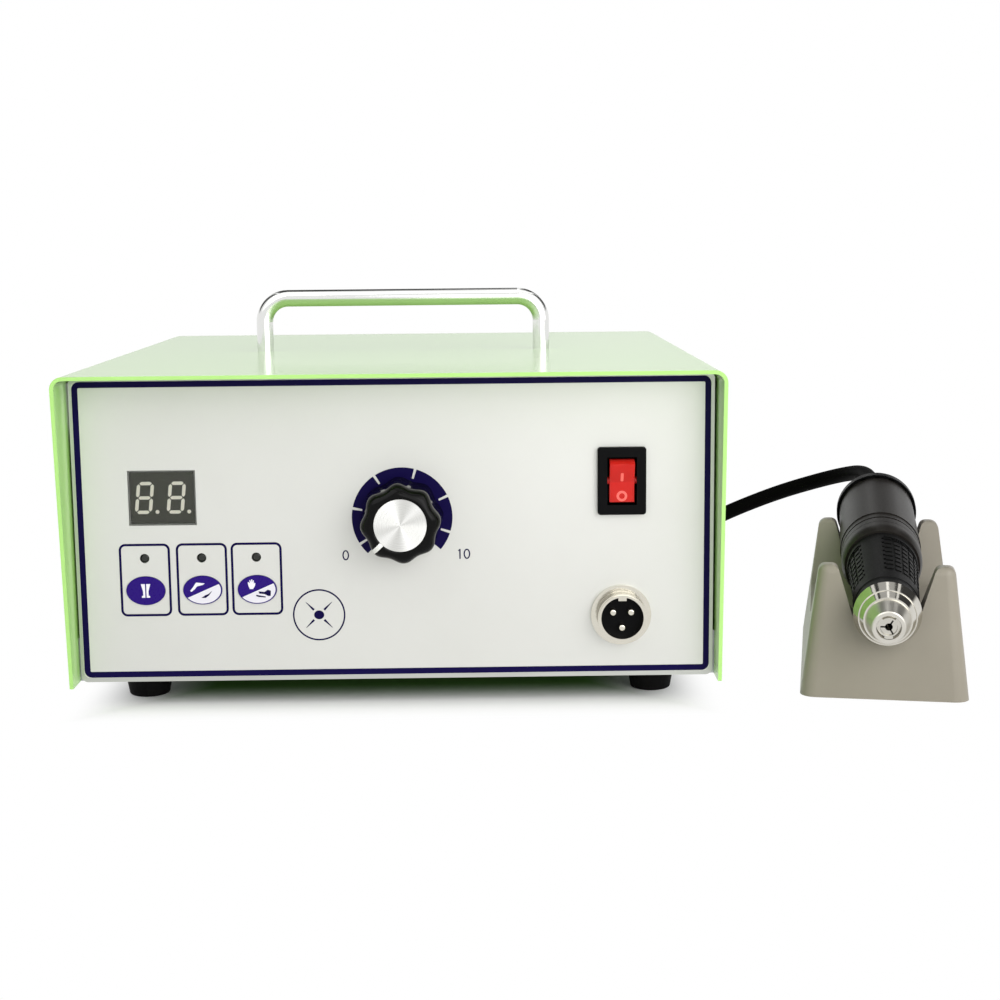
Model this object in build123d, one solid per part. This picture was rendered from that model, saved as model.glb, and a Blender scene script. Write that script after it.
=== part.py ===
"""Micromotor polisher: a bench control unit, its handpiece in a cradle and the handpiece's cord.

Everything is in millimetres.  The control unit is drawn in its own frame: X to the right from its
middle, Y away from the user from the printed face of its front panel, Z up from the table.  The
cradle and the handpiece are drawn in frames of their own and then placed beside it.  The whole set
is shifted at the end, so that the middle of its footprint on the table is the origin.
"""
import os
from math import cos, hypot, pi, radians, sin, tan

from build123d import *

os.makedirs("parts", exist_ok=True)

# Clearances, on the radius where a piece is round
overrun = 1.0
running_gap = 0.05
press_gap = 0.02
fit_gap = 0.1
loose_gap = 0.3

# Sheet metal case
cover_width = 206.0
cover_top = 107.6
cover_back = 195.0
cover_sheet = 1.2
cover_corner = 4.0
visor_top = 15.5
visor_bottom = 8.0
foot_height = 8.5
panel_sheet = 2.0
panel_side_gap = 0.7
panel_top_gap = 0.5
panel_corner = 2.2
overlay_sheet = 0.5
overlay_width = 200.0
overlay_height = 94.9
overlay_rise = 1.5
overlay_corner = 1.8
pan_sheet = 1.2
pan_side_height = 14.0
pan_front_height = 8.0
pan_rear_height = 12.0
rear_inset = 2.0
rear_sheet = 1.5

# Vents in the rear panel
vent_count = 11
vent_pitch = 8.0
vent_width = 3.0
vent_height = 26.0
vent_low = 66.0
vent_middle = -38.0

# Screws and nuts, as shares of the thread's size
small_thread = 1.5
large_thread = 2.0
head_radius_share = 1.85
head_height_share = 1.15
head_edge_share = 0.45
recess_length_share = 1.1
recess_width_share = 0.32
recess_depth_share = 0.7
nut_flats_share = 3.5
nut_height_share = 1.6

# Where the case screws sit
case_screw_length = 6.0
case_screw_inset = 27.0
case_screw_rise = 8.0
panel_screw_reach = 1.5
panel_screw_inset = 12.0
panel_screw_rise = 4.5

# Feet
foot_top_radius = 8.0
foot_bottom_radius = 6.5
foot_recess_radius = 4.6
foot_recess_depth = 4.0
foot_edge = 0.8
foot_side = 83.0
foot_front = 19.0
foot_screw_length = 12.0

# Handle
handle_radius = 3.0
handle_span = 100.0
handle_y = 90.0
handle_rise = 22.2
handle_bend = 8.5
handle_screw_length = 8.0

# Display
window_x = -73.05
window_z = 67.97
window_width = 21.3
window_height = 17.55
window_rim = 0.5
module_back = 10.5
module_margin = 2.4
digit_height = 10.2
digit_width = 5.4
digit_pitch = 10.0
digit_stroke = 1.05
digit_lean = 6.5
digit_film = 0.1
digit_gap_share = 0.22
dot_radius = 0.6

# Keys and their lamps
key_mode_x = -79.3
key_hand_x = -61.3
key_foot_x = -44.0
key_z = 38.28
key_width = 12.3
key_height = 9.2
key_rise = 0.3
key_travel = 0.4
key_flange = 1.0
key_flange_sheet = 0.8
key_stem_radius = 1.9
key_slack = 0.05
lamp_z = 48.67
lamp_radius = 1.45
lamp_dome = 0.7
tact_size = 6.0
tact_depth = 3.5
tact_button_radius = 1.75
tact_button_rise = 1.4

# Boards and the posts under them
board_sheet = 1.6
control_board_left = -95.0
control_board_right = -29.0
control_board_low = 31.0
control_board_high = 83.0
post_inset = 4.0
post_radius = 2.4
post_pad_radius = 3.4
post_pad_sheet = 1.0
post_pin_radius = 1.4
post_cap_radius = 2.2
post_cap_height = 1.2
driver_board_left = 15.0
driver_board_right = 95.0
driver_board_front = 58.0
driver_board_back = 164.0
driver_board_lift = 6.0

# Speed control
knob_x = 2.4
knob_z = 60.95
knob_front = 16.0
knob_back = 0.6
knob_cap_radius = 8.15
knob_cap_sheet = 0.8
knob_shoulder_radius = 11.9
knob_shoulder_drop = 4.2
knob_base_radius = 13.1
knob_rim = 1.4
knob_scallop_count = 10
knob_scallop_depth = 1.0
knob_scallop_radius = 4.5
knob_scallop_turn = 252.0
knob_wall = 2.4
knob_roof = 7.0
pot_body_radius = 12.0
pot_body_depth = 9.5
pot_bushing_radius = 4.5
pot_bushing_reach = 5.5
pot_shaft_radius = 3.0
pot_shaft_front = 13.0
pot_shaft_depth = 7.0
pot_nut_flats = 12.0
pot_nut_sheet = 2.0
pot_lug_width = 1.6
pot_lug_sheet = 0.6
pot_lug_length = 5.0
pot_lug_pitch = 5.0

# Power switch
switch_x = 71.8
switch_z = 71.9
bezel_width = 15.3
bezel_height = 21.5
bezel_rise = 2.0
bezel_corner = 1.0
bezel_edge = 0.5
switch_body_width = 12.9
switch_body_height = 19.0
switch_body_depth = 18.0
switch_cavity_width = 9.3
switch_cavity_height = 15.2
switch_cavity_depth = 9.0
rocker_width = 7.8
rocker_reach = 6.9
rocker_swing = 12.0
rocker_waist = 1.5
rocker_heel = 2.6
rocker_axis_y = 0.3
rocker_edge = 0.3
rocker_pin_radius = 1.2
rocker_pin_reach = 1.4
switch_tab_width = 4.8
switch_tab_sheet = 0.8
switch_tab_length = 8.0
switch_tab_pitch = 6.0

# Handpiece socket on the front panel
socket_x = 71.6
socket_z = 28.8
socket_flange_radius = 9.6
socket_flange_sheet = 1.5
socket_barrel_radius = 7.75
socket_barrel_reach = 6.5
socket_thread_pitch = 1.0
socket_thread_depth = 0.35
socket_bore_radius = 6.7
socket_face_depth = 4.0
socket_key_width = 2.6
socket_key_height = 1.1
socket_tail_depth = 11.0
socket_insert_depth = 9.0
socket_nut_flats = 19.0
socket_nut_sheet = 2.5
socket_pin_radius = 1.05
socket_pin_circle = 3.3
socket_pin_inset = 0.8
socket_pin_tail = 5.0
socket_pin_turns = (30.0, 150.0, 270.0)

# Mains inlet
inlet_x = -60.0
inlet_z = 38.0
inlet_flange_width = 50.0
inlet_flange_height = 23.0
inlet_body_width = 27.0
inlet_body_height = 20.0
inlet_body_depth = 18.0
inlet_cavity_width = 24.4
inlet_cavity_height = 16.6
inlet_cavity_depth = 16.0
inlet_cavity_chamfer = 4.0
inlet_corner = 2.0
inlet_screw_span = 40.0
inlet_blade_width = 2.0
inlet_blade_height = 4.0
inlet_blade_inset = 2.0
inlet_blade_span = 14.0
inlet_blade_shift = 2.0
inlet_tab_length = 7.0

# Fuse holder
fuse_x = -12.0
fuse_z = 38.0
fuse_flange_radius = 8.5
fuse_body_radius = 6.2
fuse_body_depth = 32.0
fuse_bore_radius = 4.8
fuse_bore_depth = 14.0
fuse_plug_depth = 12.0
fuse_cap_radius = 6.6
fuse_cap_reach = 8.0
fuse_slot_width = 1.4
fuse_slot_depth = 1.2
fuse_grip_count = 12
fuse_grip_depth = 0.4
fuse_nut_flats = 17.0
fuse_nut_sheet = 3.0

# Socket for a foot pedal
pedal_x = 14.0
pedal_z = 38.0
pedal_bore_radius = 3.2
pedal_bore_depth = 24.0
pedal_bushing_radius = 4.6
pedal_bushing_reach = 4.0
pedal_nut_flats = 13.0
pedal_nut_sheet = 2.2
pedal_body_width = 15.0
pedal_body_height = 15.0
pedal_body_depth = 24.0

# Transformer
core_x = -42.0
core_y = 116.0
core_width = 78.0
core_height = 65.0
core_depth = 38.0
winding_overhang = 12.0
winding_slack = 0.5
winding_corner = 6.0
frame_sheet = 1.5
frame_width = 24.0
frame_foot = 12.0
frame_screw_length = 8.0

# Heat sink, transistors and capacitors on the driver board
sink_width = 66.0
sink_base = 4.0
sink_height = 38.0
sink_fin_count = 9
sink_fin_sheet = 1.8
sink_fin_depth = 14.0
sink_inset = 2.0
transistor_count = 3
transistor_pitch = 20.0
transistor_width = 10.0
transistor_body_height = 9.2
transistor_body_depth = 4.4
transistor_tab_height = 6.4
transistor_tab_sheet = 1.3
transistor_lift = 6.0
transistor_leg = 0.8
transistor_leg_pitch = 2.54
can_radius = 11.0
can_height = 36.0
can_pitch = 30.0
can_front = 20.0
small_can_radius = 5.0
small_can_height = 18.0
small_can_pitch = 16.0
small_can_front = 45.0
can_edge = 0.8

# Cradle
cradle_apart = 53.2
cradle_y = -2.4
cradle_turn = 11.4
cradle_width = 53.5
cradle_length = 104.0
cradle_height = 42.9
cradle_side_draft = 5.4
cradle_end_draft = 3.4
cradle_edge = 5.0
cradle_top_edge = 3.2
notch_flare = 17.0
prong_length = 10.3
prong_round = 2.9
saddle_low = 22.0
saddle_foot = 22.0
saddle_round = 12.0
cradle_wall = 2.6
cradle_hollow = 16.5
cradle_gap = 0.3

# Handpiece: sizes along the axis are measured from the tip's face
tip_ahead = 20.8
tip_z = 28.5
tip_tilt = 5.6
tip_radius = 5.2
tip_edge = 0.35
cone_length = 6.9
cone_radius = 7.1
band_front = 7.6
band_front_radius = 8.85
band_step = 9.8
band_rear = 9.15
nose_length = 13.5
nose_radius = 10.67
nose_bore = 3.85
grip_end = 66.0
grip_front_radius = 10.05
grip_collar_length = 7.0
grip_rear_radius = 12.0
grip_bore = 8.6
grip_pad_count = 3
grip_pad_turn = 128.0
grip_pad_span = 76.0
grip_pad_front = 27.0
grip_pad_back = 62.0
grip_pad_depth = 0.35
grip_groove_depth = 0.4
grip_row_count = 8
grip_row_width = 1.9
grip_row_reach = 4.0
grip_column_count = 4
grip_column_span = 4.5
shoulder_radius = 12.7
shoulder_round = 5.0
ring_end = 86.0
ring_radius = 13.7
# Each groove of the ring: where it starts along the axis, its width and its depth
ring_grooves = ((75.0, 0.4, 0.3), (80.0, 1.4, 0.7))
housing_end = 138.0
housing_front_radius = 14.0
housing_rear_radius = 13.8
housing_bore = 11.6
neck_front = 15.5
neck_radius = 8.5
neck_bore = 6.5
tail_rim_end = 142.0
tail_rim_radius = 14.9
tail_rim_step = 0.8
tail_end = 153.0
tail_end_radius = 5.2
tail_shoulder_radius = 10.65
tail_vent_count = 16
tail_vent_width = 2.2
tail_vent_depth = 0.5
relief_front_radius = 4.8
relief_back_radius = 3.9
relief_length = 22.0
relief_groove_count = 4
relief_groove_width = 1.2
relief_groove_depth = 0.5
spindle_nose_radius = 3.8
spindle_nose_inset = 0.3
spindle_nose_length = 7.0
spindle_radius = 3.4
spindle_bore = 2.6
spindle_end = 134.0
spindle_lug_count = 3
spindle_slot_turn = 90.0
spindle_slot_span = 74.0
spindle_slot_radius = 3.1
spindle_slot_depth = 2.0
collet_inset = 0.9
collet_length = 34.0
collet_bore = 1.175
collet_slit = 0.5
collet_slit_length = 16.0
collet_slit_count = 3
collet_travel = 0.8
bearing_sheet = 5.0
bearing_front = 20.0
bearing_rear = 127.0
stator_inset = 4.0
stator_length = 32.0
stator_bore = 8.0
magnet_radius = 7.7
magnet_inset = 2.0

# Cord and its plug
cord_radius = 3.2
cord_straight = 13.0
bend_share = 0.45
# Each point of the lead: right of the case's right side, behind the cover, above the table
lead_route = ((86.7, -15.0, 48.2), (81.9, 0.0, 45.3), (71.4, 12.0, 40.5), (56.0, 20.0, 34.4),
              (36.9, 24.0, 26.2), (18.4, 26.0, 17.0), (-5.0, 24.5, 7.9))
lead_end_apart = 28.0
coil_inset = 57.0
coil_clear = 22.0
coil_turn_count = 7
coil_across = 60.0
coil_pitch = 8.0
tie_sheet = 0.4
tie_gap = 0.1
tie_width = 7.0
tie_corner = 2.5
plug_ring_radius = 10.5
plug_ring_length = 13.0
plug_ring_lip = 2.5
plug_ring_rib_count = 18
plug_ring_rib_depth = 0.4
plug_shell_radius = 7.6
plug_shell_length = 22.0
plug_neck_radius = 6.9
plug_flange_sheet = 1.5
plug_tail_radius = 4.4
plug_tail_length = 14.0
plug_insert_radius = 6.5
plug_insert_neck = 5.5
plug_insert_reach = 5.0
plug_insert_seat = 8.0
plug_hole_depth = 7.0

# Sizes that follow from the ones above
case_half = cover_width / 2
cradle_x = case_half + cradle_apart
coil_x = case_half - coil_inset
coil_front = cover_back + coil_clear
inner_half = case_half - cover_sheet
inner_top = cover_top - cover_sheet
panel_back = overlay_sheet + panel_sheet
panel_half = inner_half - panel_side_gap
panel_top = inner_top - panel_top_gap
overlay_low = foot_height + overlay_rise
overlay_top = overlay_low + overlay_height
rear_face = cover_back - rear_inset
rear_inside = rear_face - rear_sheet
pan_floor = foot_height + pan_sheet
control_board_back = module_back + board_sheet
driver_board_low = pan_floor + driver_board_lift
driver_board_top = driver_board_low + board_sheet
foot_rear = rear_face - foot_front
small_hole = small_thread + fit_gap
large_hole = large_thread + fit_gap
socket_tail_end = overlay_sheet + socket_tail_depth
fuse_front_end = cover_back + fuse_cap_reach
key_hole_width = key_width + 2 * fit_gap
key_hole_height = key_height + 2 * fit_gap
key_places = (("key_mode", key_mode_x), ("key_hand", key_hand_x), ("key_foot", key_foot_x))
tact_front = module_back - tact_depth
key_end = tact_front - tact_button_rise - key_travel - key_slack
handle_half = handle_span / 2
handle_axis_top = cover_top + handle_rise - handle_radius
relief_end = tail_end + relief_length
stator_front = ring_end + stator_inset
stator_back = stator_front + stator_length


# Basic shapes
def block(xs, ys, zs):
    """A box between two values on each axis."""
    size = [max(pair) - min(pair) for pair in (xs, ys, zs)]
    return Pos(sum(xs) / 2, sum(ys) / 2, sum(zs) / 2) * Box(*size)


def rod(axis, radius, ends, at=(0, 0)):
    """A cylinder along one axis between two values on it."""
    solid = Cylinder(radius, abs(ends[1] - ends[0]))
    middle = sum(ends) / 2
    if axis == "x":
        return Pos(middle, at[0], at[1]) * Rot(0, 90, 0) * solid
    if axis == "y":
        return Pos(at[0], middle, at[1]) * Rot(90, 0, 0) * solid
    return Pos(at[0], at[1], middle) * solid


def turned(points):
    """A solid of revolution about Z, from (radius, height) points."""
    return revolve(make_face(Plane.XZ * Polyline(*points, close=True)), Axis.Z)


def sector(points, middle, span):
    """A part of such a solid: span degrees wide, around the angle middle."""
    profile = make_face(Plane.XZ * Polyline(*points, close=True))
    return Rot(0, 0, middle - span / 2) * revolve(profile, Axis.Z, revolution_arc=span)


def facing(shape, x, z):
    """Turns a shape that stands on Z so that it looks out of the front panel at x, z."""
    return Pos(x, 0, z) * Rot(90, 0, 0) * shape


def facing_back(shape, x, z, y=0):
    """Turns a shape that stands on Z so that it looks out of the rear panel at x, z."""
    return Pos(x, y, z) * Rot(-90, 0, 0) * shape


def rounded_plate(width, height, corner, ys, x=0, z=0):
    """An upright plate with rounded corners, between two values of y."""
    outline = Plane.XZ * RectangleRounded(width, height, corner)
    plate = extrude(outline, amount=-abs(ys[1] - ys[0]))
    return Pos(x, min(ys), z) * plate


def upright_oval(width, height, ys, x, z):
    """An upright elliptic plate between two values of y."""
    outline = Plane.XZ * Ellipse(width / 2, height / 2)
    return Pos(x, min(ys), z) * extrude(outline, amount=-abs(ys[1] - ys[0]))


def hexagon(flats, heights, bore):
    """A hexagonal nut on Z between two heights, with a plain bore."""
    low, high = min(heights), max(heights)
    outline = RegularPolygon(flats / 2, 6, major_radius=False)
    body = Pos(0, 0, low) * extrude(outline, amount=high - low)
    return body - rod("z", bore, (low - overrun, high + overrun))


def group(pieces):
    """All the solids of several shapes as one node."""
    return Compound([solid for piece in pieces for solid in piece.solids()])


def pan_screw(thread, length):
    """A pan-head screw: its head stands on z = 0 and its shank points down."""
    head_radius = thread * head_radius_share
    head_height = thread * head_height_share
    head = rod("z", head_radius, (0, head_height))
    head = fillet(head.edges().group_by(Axis.Z)[-1], thread * head_edge_share)
    arm = thread * recess_length_share
    slot = thread * recess_width_share
    depth = thread * recess_depth_share
    for across, along in ((arm, slot), (slot, arm)):
        head -= block((-across, across), (-along, along), (head_height - depth, head_height + overrun))
    return head + rod("z", thread, (-length, 0))


def thread_nut(thread):
    """A hexagonal nut that stands on z = 0."""
    return hexagon(thread * nut_flats_share, (0, thread * nut_height_share), thread + fit_gap)


def placed(shape, origin, z_dir):
    """A shape moved to a point, with its Z axis along a direction."""
    return Plane(origin=origin, z_dir=z_dir).location * shape


def both_sides(value):
    return (-value, value)


# Where the fixings are
side_screw_ys = (case_screw_inset, rear_face - case_screw_inset)
side_screw_z = foot_height + case_screw_rise
foot_places = [(x, y) for x in both_sides(foot_side) for y in (foot_front, foot_rear)]
panel_screw_x = panel_half - panel_screw_inset
panel_screw_z = foot_height + panel_screw_rise
frame_side = core_width / 2 + frame_sheet
frame_reach = frame_side + frame_foot
frame_screw_xs = [core_x + side * (frame_side + frame_foot / 2) for side in (-1, 1)]
inlet_screw_xs = [inlet_x + side * inlet_screw_span / 2 for side in (-1, 1)]


# Case
def base_pan():
    back = panel_back
    walls = block(both_sides(inner_half), (back, rear_inside), (foot_height, foot_height + pan_side_height))
    inside = inner_half - pan_sheet
    ends = (back + pan_sheet, rear_inside - pan_sheet)
    top = foot_height + pan_side_height + overrun
    pan = walls - block(both_sides(inside), ends, (pan_floor, top))
    front_top = foot_height + pan_front_height
    rear_top = foot_height + pan_rear_height
    pan -= block(both_sides(inside), (back - overrun, back + pan_sheet), (front_top, top))
    pan -= block(both_sides(inside), (rear_inside - pan_sheet, rear_inside + overrun), (rear_top, top))
    for y in side_screw_ys:
        pan -= rod("x", small_hole, both_sides(case_half), (y, side_screw_z))
    for x, y in foot_places:
        pan -= rod("z", large_hole, (foot_height - overrun, pan_floor + overrun), (x, y))
    for x in frame_screw_xs:
        pan -= rod("z", large_hole, (foot_height - overrun, pan_floor + overrun), (x, core_y))
    for x in both_sides(panel_screw_x):
        pan -= rod("y", small_hole, (back - overrun, rear_face), (x, panel_screw_z))
    return pan


def cover_shell():
    depth = (-visor_top, cover_back)
    outer = block(both_sides(case_half), depth, (foot_height, cover_top))
    outer = fillet(outer.edges().filter_by(Axis.Y).group_by(Axis.Z)[-1], cover_corner)
    through = (-visor_top - overrun, cover_back + overrun)
    inner = block(both_sides(inner_half), through, (foot_height - overrun, inner_top))
    inner = fillet(inner.edges().filter_by(Axis.Y).group_by(Axis.Z)[-1], cover_corner - cover_sheet)
    shell = outer - inner
    lean = (visor_top - visor_bottom) / (cover_top - foot_height)
    front_low = -visor_bottom + lean * overrun
    front_high = -visor_top - lean * overrun
    ahead = -visor_top - overrun - lean * overrun
    low, high = foot_height - overrun, cover_top + overrun
    side = Polyline((front_low, low), (front_high, high), (ahead, high), (ahead, low), close=True)
    shell -= extrude(make_face(Plane.YZ * side), amount=case_half + overrun, both=True)
    for y in side_screw_ys:
        shell -= rod("x", small_hole, both_sides(case_half + overrun), (y, side_screw_z))
    for x in both_sides(handle_half):
        shell -= rod("z", large_hole, (inner_top - overrun, cover_top + overrun), (x, handle_y))
    return shell


def case_screws():
    pieces = []
    side_screw = pan_screw(small_thread, case_screw_length)
    for y in side_screw_ys:
        pieces.append(placed(side_screw, (case_half, y, side_screw_z), (1, 0, 0)))
        pieces.append(placed(side_screw, (-case_half, y, side_screw_z), (-1, 0, 0)))
    panel_screw = pan_screw(small_thread, pan_sheet + panel_screw_reach)
    rear_screw = pan_screw(small_thread, case_screw_length)
    for x in both_sides(panel_screw_x):
        pieces.append(placed(panel_screw, (x, panel_back + pan_sheet, panel_screw_z), (0, 1, 0)))
        pieces.append(placed(rear_screw, (x, rear_face, panel_screw_z), (0, 1, 0)))
    inlet_screw = pan_screw(small_thread, case_screw_length)
    for x in inlet_screw_xs:
        pieces.append(placed(inlet_screw, (x, cover_back, inlet_z), (0, 1, 0)))
    return group(pieces)


def front_cutouts(ys, window):
    """The holes that the panel and its overlay share, between two values of y."""
    cuts = [block(window[0], ys, window[1])]
    for name, x in key_places:
        cuts.append(rod("y", lamp_radius + running_gap, ys, (x, lamp_z)))
        cuts.append(upright_oval(key_hole_width, key_hole_height, ys, x, key_z))
    cuts.append(rod("y", pot_bushing_radius + fit_gap, ys, (knob_x, knob_z)))
    half_width = switch_body_width / 2 + fit_gap
    half_height = switch_body_height / 2 + fit_gap
    across = (switch_x - half_width, switch_x + half_width)
    cuts.append(block(across, ys, (switch_z - half_height, switch_z + half_height)))
    cuts.append(rod("y", socket_barrel_radius + fit_gap, ys, (socket_x, socket_z)))
    return cuts


def window_span(shrink):
    """The display window's spans in x and z, smaller by shrink on each side."""
    half_width = window_width / 2 - shrink
    half_height = window_height / 2 - shrink
    across = (window_x - half_width, window_x + half_width)
    return across, (window_z - half_height, window_z + half_height)


def front_panel():
    height = panel_top - foot_height
    middle = (panel_top + foot_height) / 2
    plate = rounded_plate(2 * panel_half, height, panel_corner, (overlay_sheet, panel_back), 0, middle)
    for cut in front_cutouts((overlay_sheet - overrun, panel_back + overrun), window_span(window_rim)):
        plate -= cut
    for x in both_sides(panel_screw_x):
        plate -= rod("y", small_hole, (panel_back - panel_screw_reach - fit_gap, panel_back + overrun),
                     (x, panel_screw_z))
    return plate


def front_overlay():
    middle = (overlay_low + overlay_top) / 2
    film = rounded_plate(overlay_width, overlay_height, overlay_corner, (0, overlay_sheet), 0, middle)
    for cut in front_cutouts((-overrun, overlay_sheet + overrun), window_span(0)):
        film -= cut
    return film


def rear_panel():
    ys = (rear_inside, rear_face)
    through = (rear_inside - overrun, rear_face + overrun)
    height = panel_top - foot_height
    plate = rounded_plate(2 * panel_half, height, panel_corner, ys, 0, (panel_top + foot_height) / 2)
    half_width = inlet_body_width / 2 + fit_gap
    half_height = inlet_body_height / 2 + fit_gap
    plate -= block((inlet_x - half_width, inlet_x + half_width), through,
                   (inlet_z - half_height, inlet_z + half_height))
    for x in inlet_screw_xs:
        plate -= rod("y", small_hole, through, (x, inlet_z))
    plate -= rod("y", fuse_body_radius + fit_gap, through, (fuse_x, fuse_z))
    plate -= rod("y", pedal_bushing_radius + fit_gap, through, (pedal_x, pedal_z))
    for x in both_sides(panel_screw_x):
        plate -= rod("y", small_hole, through, (x, panel_screw_z))
    for index in range(vent_count):
        x = vent_middle + (index - (vent_count - 1) / 2) * vent_pitch
        slot = Plane.XZ * SlotOverall(vent_height, vent_width, rotation=90)
        slot = extrude(slot, amount=-(through[1] - through[0]))
        plate -= Pos(x, through[0], vent_low + vent_height / 2) * slot
    return plate


# Handle and feet
def carry_handle():
    low, high = cover_top, handle_axis_top
    corners = [(-handle_half, handle_y, low), (-handle_half, handle_y, high),
               (handle_half, handle_y, high), (handle_half, handle_y, low)]
    path = FilletPolyline(*corners, radius=handle_bend)
    section = Plane(origin=corners[0], z_dir=(0, 0, 1)) * Circle(handle_radius)
    rail = sweep(section, path=path)
    for x in both_sides(handle_half):
        rail -= rod("z", large_hole, (low - overrun, low + handle_screw_length), (x, handle_y))
    return rail


def rubber_feet():
    foot = turned([(0, 0), (foot_bottom_radius, 0), (foot_top_radius, foot_height), (0, foot_height)])
    foot = fillet(foot.edges().group_by(Axis.Z)[0], foot_edge)
    foot -= rod("z", foot_recess_radius, (-overrun, foot_recess_depth))
    foot -= rod("z", large_hole, (0, foot_height + overrun))
    return group([Pos(x, y, 0) * foot for x, y in foot_places])


def chassis_screws():
    pieces = []
    nut = thread_nut(large_thread)
    foot_screw = pan_screw(large_thread, foot_screw_length)
    for x, y in foot_places:
        pieces.append(placed(foot_screw, (x, y, foot_recess_depth), (0, 0, -1)))
        pieces.append(Pos(x, y, pan_floor) * nut)
    frame_screw = pan_screw(large_thread, frame_screw_length)
    for x in frame_screw_xs:
        pieces.append(placed(frame_screw, (x, core_y, foot_height), (0, 0, -1)))
        pieces.append(Pos(x, core_y, pan_floor + frame_sheet) * nut)
    handle_screw = pan_screw(large_thread, handle_screw_length)
    for x in both_sides(handle_half):
        pieces.append(placed(handle_screw, (x, handle_y, inner_top), (0, 0, -1)))
    return group(pieces)


# Display, lamps and keys
def display_window():
    across, up = window_span(0)
    return block(across, (0, overlay_sheet), up)


module_face = overlay_sheet + fit_gap + digit_film


def display_module():
    across, up = window_span(window_rim + fit_gap)
    front = block(across, (module_face, panel_back + fit_gap), up)
    across, up = window_span(-module_margin)
    return front + block(across, (panel_back + fit_gap, module_back), up)


def digit_segments():
    """The seven bars and the dot of one digit, about its middle, on the X-Z plane."""
    half_width = (digit_width - digit_stroke) / 2
    half_height = (digit_height - digit_stroke) / 2
    bar = digit_stroke / 2
    gap = digit_stroke * digit_gap_share
    lean = tan(radians(digit_lean))
    pieces = []
    for z in (-half_height, 0, half_height):
        reach = half_width - gap - bar
        pieces.append([(-reach, z - bar), (reach, z - bar), (reach + bar, z), (reach, z + bar),
                       (-reach, z + bar), (-reach - bar, z)])
    for x in both_sides(half_width):
        for low, high in ((-half_height, 0), (0, half_height)):
            start, end = low + gap + bar, high - gap - bar
            pieces.append([(x - bar, start), (x, start - bar), (x + bar, start), (x + bar, end),
                           (x, end + bar), (x - bar, end)])
    return [[(x + z * lean, z) for x, z in piece] for piece in pieces]


def display_digits():
    pieces = []
    for side in (-1, 1):
        x = window_x + side * digit_pitch / 2 - dot_radius
        place = Pos(x, module_face, window_z)
        for points in digit_segments():
            outline = make_face(Plane.XZ * Polyline(*points, close=True))
            pieces.append(place * extrude(outline, amount=digit_film))
        dot_x = x + digit_width / 2 + 2 * dot_radius
        dot_z = window_z - digit_height / 2 + dot_radius
        pieces.append(rod("y", dot_radius, (module_face - digit_film, module_face), (dot_x, dot_z)))
    return group(pieces)


def indicator_leds():
    length = module_back - lamp_dome
    lamp = turned([(0, 0), (lamp_radius, 0), (lamp_radius, length), (0, length)])
    lamp = fillet(lamp.edges().group_by(Axis.Z)[-1], lamp_dome)
    return group([facing(Pos(0, 0, -module_back) * lamp, x, lamp_z) for name, x in key_places])


def tact_switches():
    half = tact_size / 2
    pieces = []
    for name, x in key_places:
        body = block((x - half, x + half), (tact_front, module_back), (key_z - half, key_z + half))
        ends = (tact_front - tact_button_rise, tact_front)
        pieces.append(body + rod("y", tact_button_radius, ends, (x, key_z)))
    return group(pieces)


def key_pad(x):
    pad = upright_oval(key_width, key_height, (-key_rise, panel_back), x, key_z)
    flange_end = panel_back + key_flange_sheet
    flange = upright_oval(key_width + 2 * key_flange, key_height + 2 * key_flange,
                          (panel_back, flange_end), x, key_z)
    return pad + flange + rod("y", key_stem_radius, (flange_end, key_end), (x, key_z))


control_post_xs = (control_board_left + post_inset, control_board_right - post_inset)
control_post_zs = (control_board_low + post_inset, control_board_high - post_inset)
driver_post_xs = (driver_board_left + post_inset, driver_board_right - post_inset)
driver_post_ys = (driver_board_front + post_inset, driver_board_back - post_inset)


def control_board():
    board = block((control_board_left, control_board_right), (module_back, control_board_back),
                  (control_board_low, control_board_high))
    for x in control_post_xs:
        for z in control_post_zs:
            hole = (module_back - overrun, control_board_back + overrun)
            board -= rod("y", post_pin_radius + fit_gap, hole, (x, z))
    return board


def board_post(length):
    """A snap-in post that stands on z = 0 and holds a board at the height given."""
    top = length + board_sheet
    post = rod("z", post_pad_radius, (0, post_pad_sheet)) + rod("z", post_radius, (0, length))
    post += rod("z", post_pin_radius, (length, top))
    return post + rod("z", post_cap_radius, (top, top + post_cap_height))


def board_standoffs():
    pieces = []
    front_post = board_post(module_back - panel_back)
    for x in control_post_xs:
        for z in control_post_zs:
            pieces.append(placed(front_post, (x, panel_back, z), (0, 1, 0)))
    pan_post = board_post(driver_board_lift)
    for x in driver_post_xs:
        for y in driver_post_ys:
            pieces.append(Pos(x, y, pan_floor) * pan_post)
    return group(pieces)


# Speed control
def pot_body():
    back = -panel_back - pot_body_depth
    body = rod("z", pot_body_radius, (back, -panel_back))
    body += rod("z", pot_bushing_radius, (-panel_back, pot_bushing_reach))
    bore = (-pot_shaft_depth - loose_gap, pot_bushing_reach + overrun)
    body -= rod("z", pot_shaft_radius + running_gap, bore)
    for index in (-1, 0, 1):
        x = index * pot_lug_pitch
        low = -pot_body_radius - pot_lug_length
        body += block((x - pot_lug_width / 2, x + pot_lug_width / 2), (low, -pot_body_radius / 2),
                      (back, back + pot_lug_sheet))
    return facing(body, knob_x, knob_z)


def pot_nut():
    nut = hexagon(pot_nut_flats, (0, pot_nut_sheet), pot_bushing_radius + fit_gap)
    return facing(nut, knob_x, knob_z)


def pot_shaft():
    return facing(rod("z", pot_shaft_radius, (-pot_shaft_depth, pot_shaft_front)), knob_x, knob_z)


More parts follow.
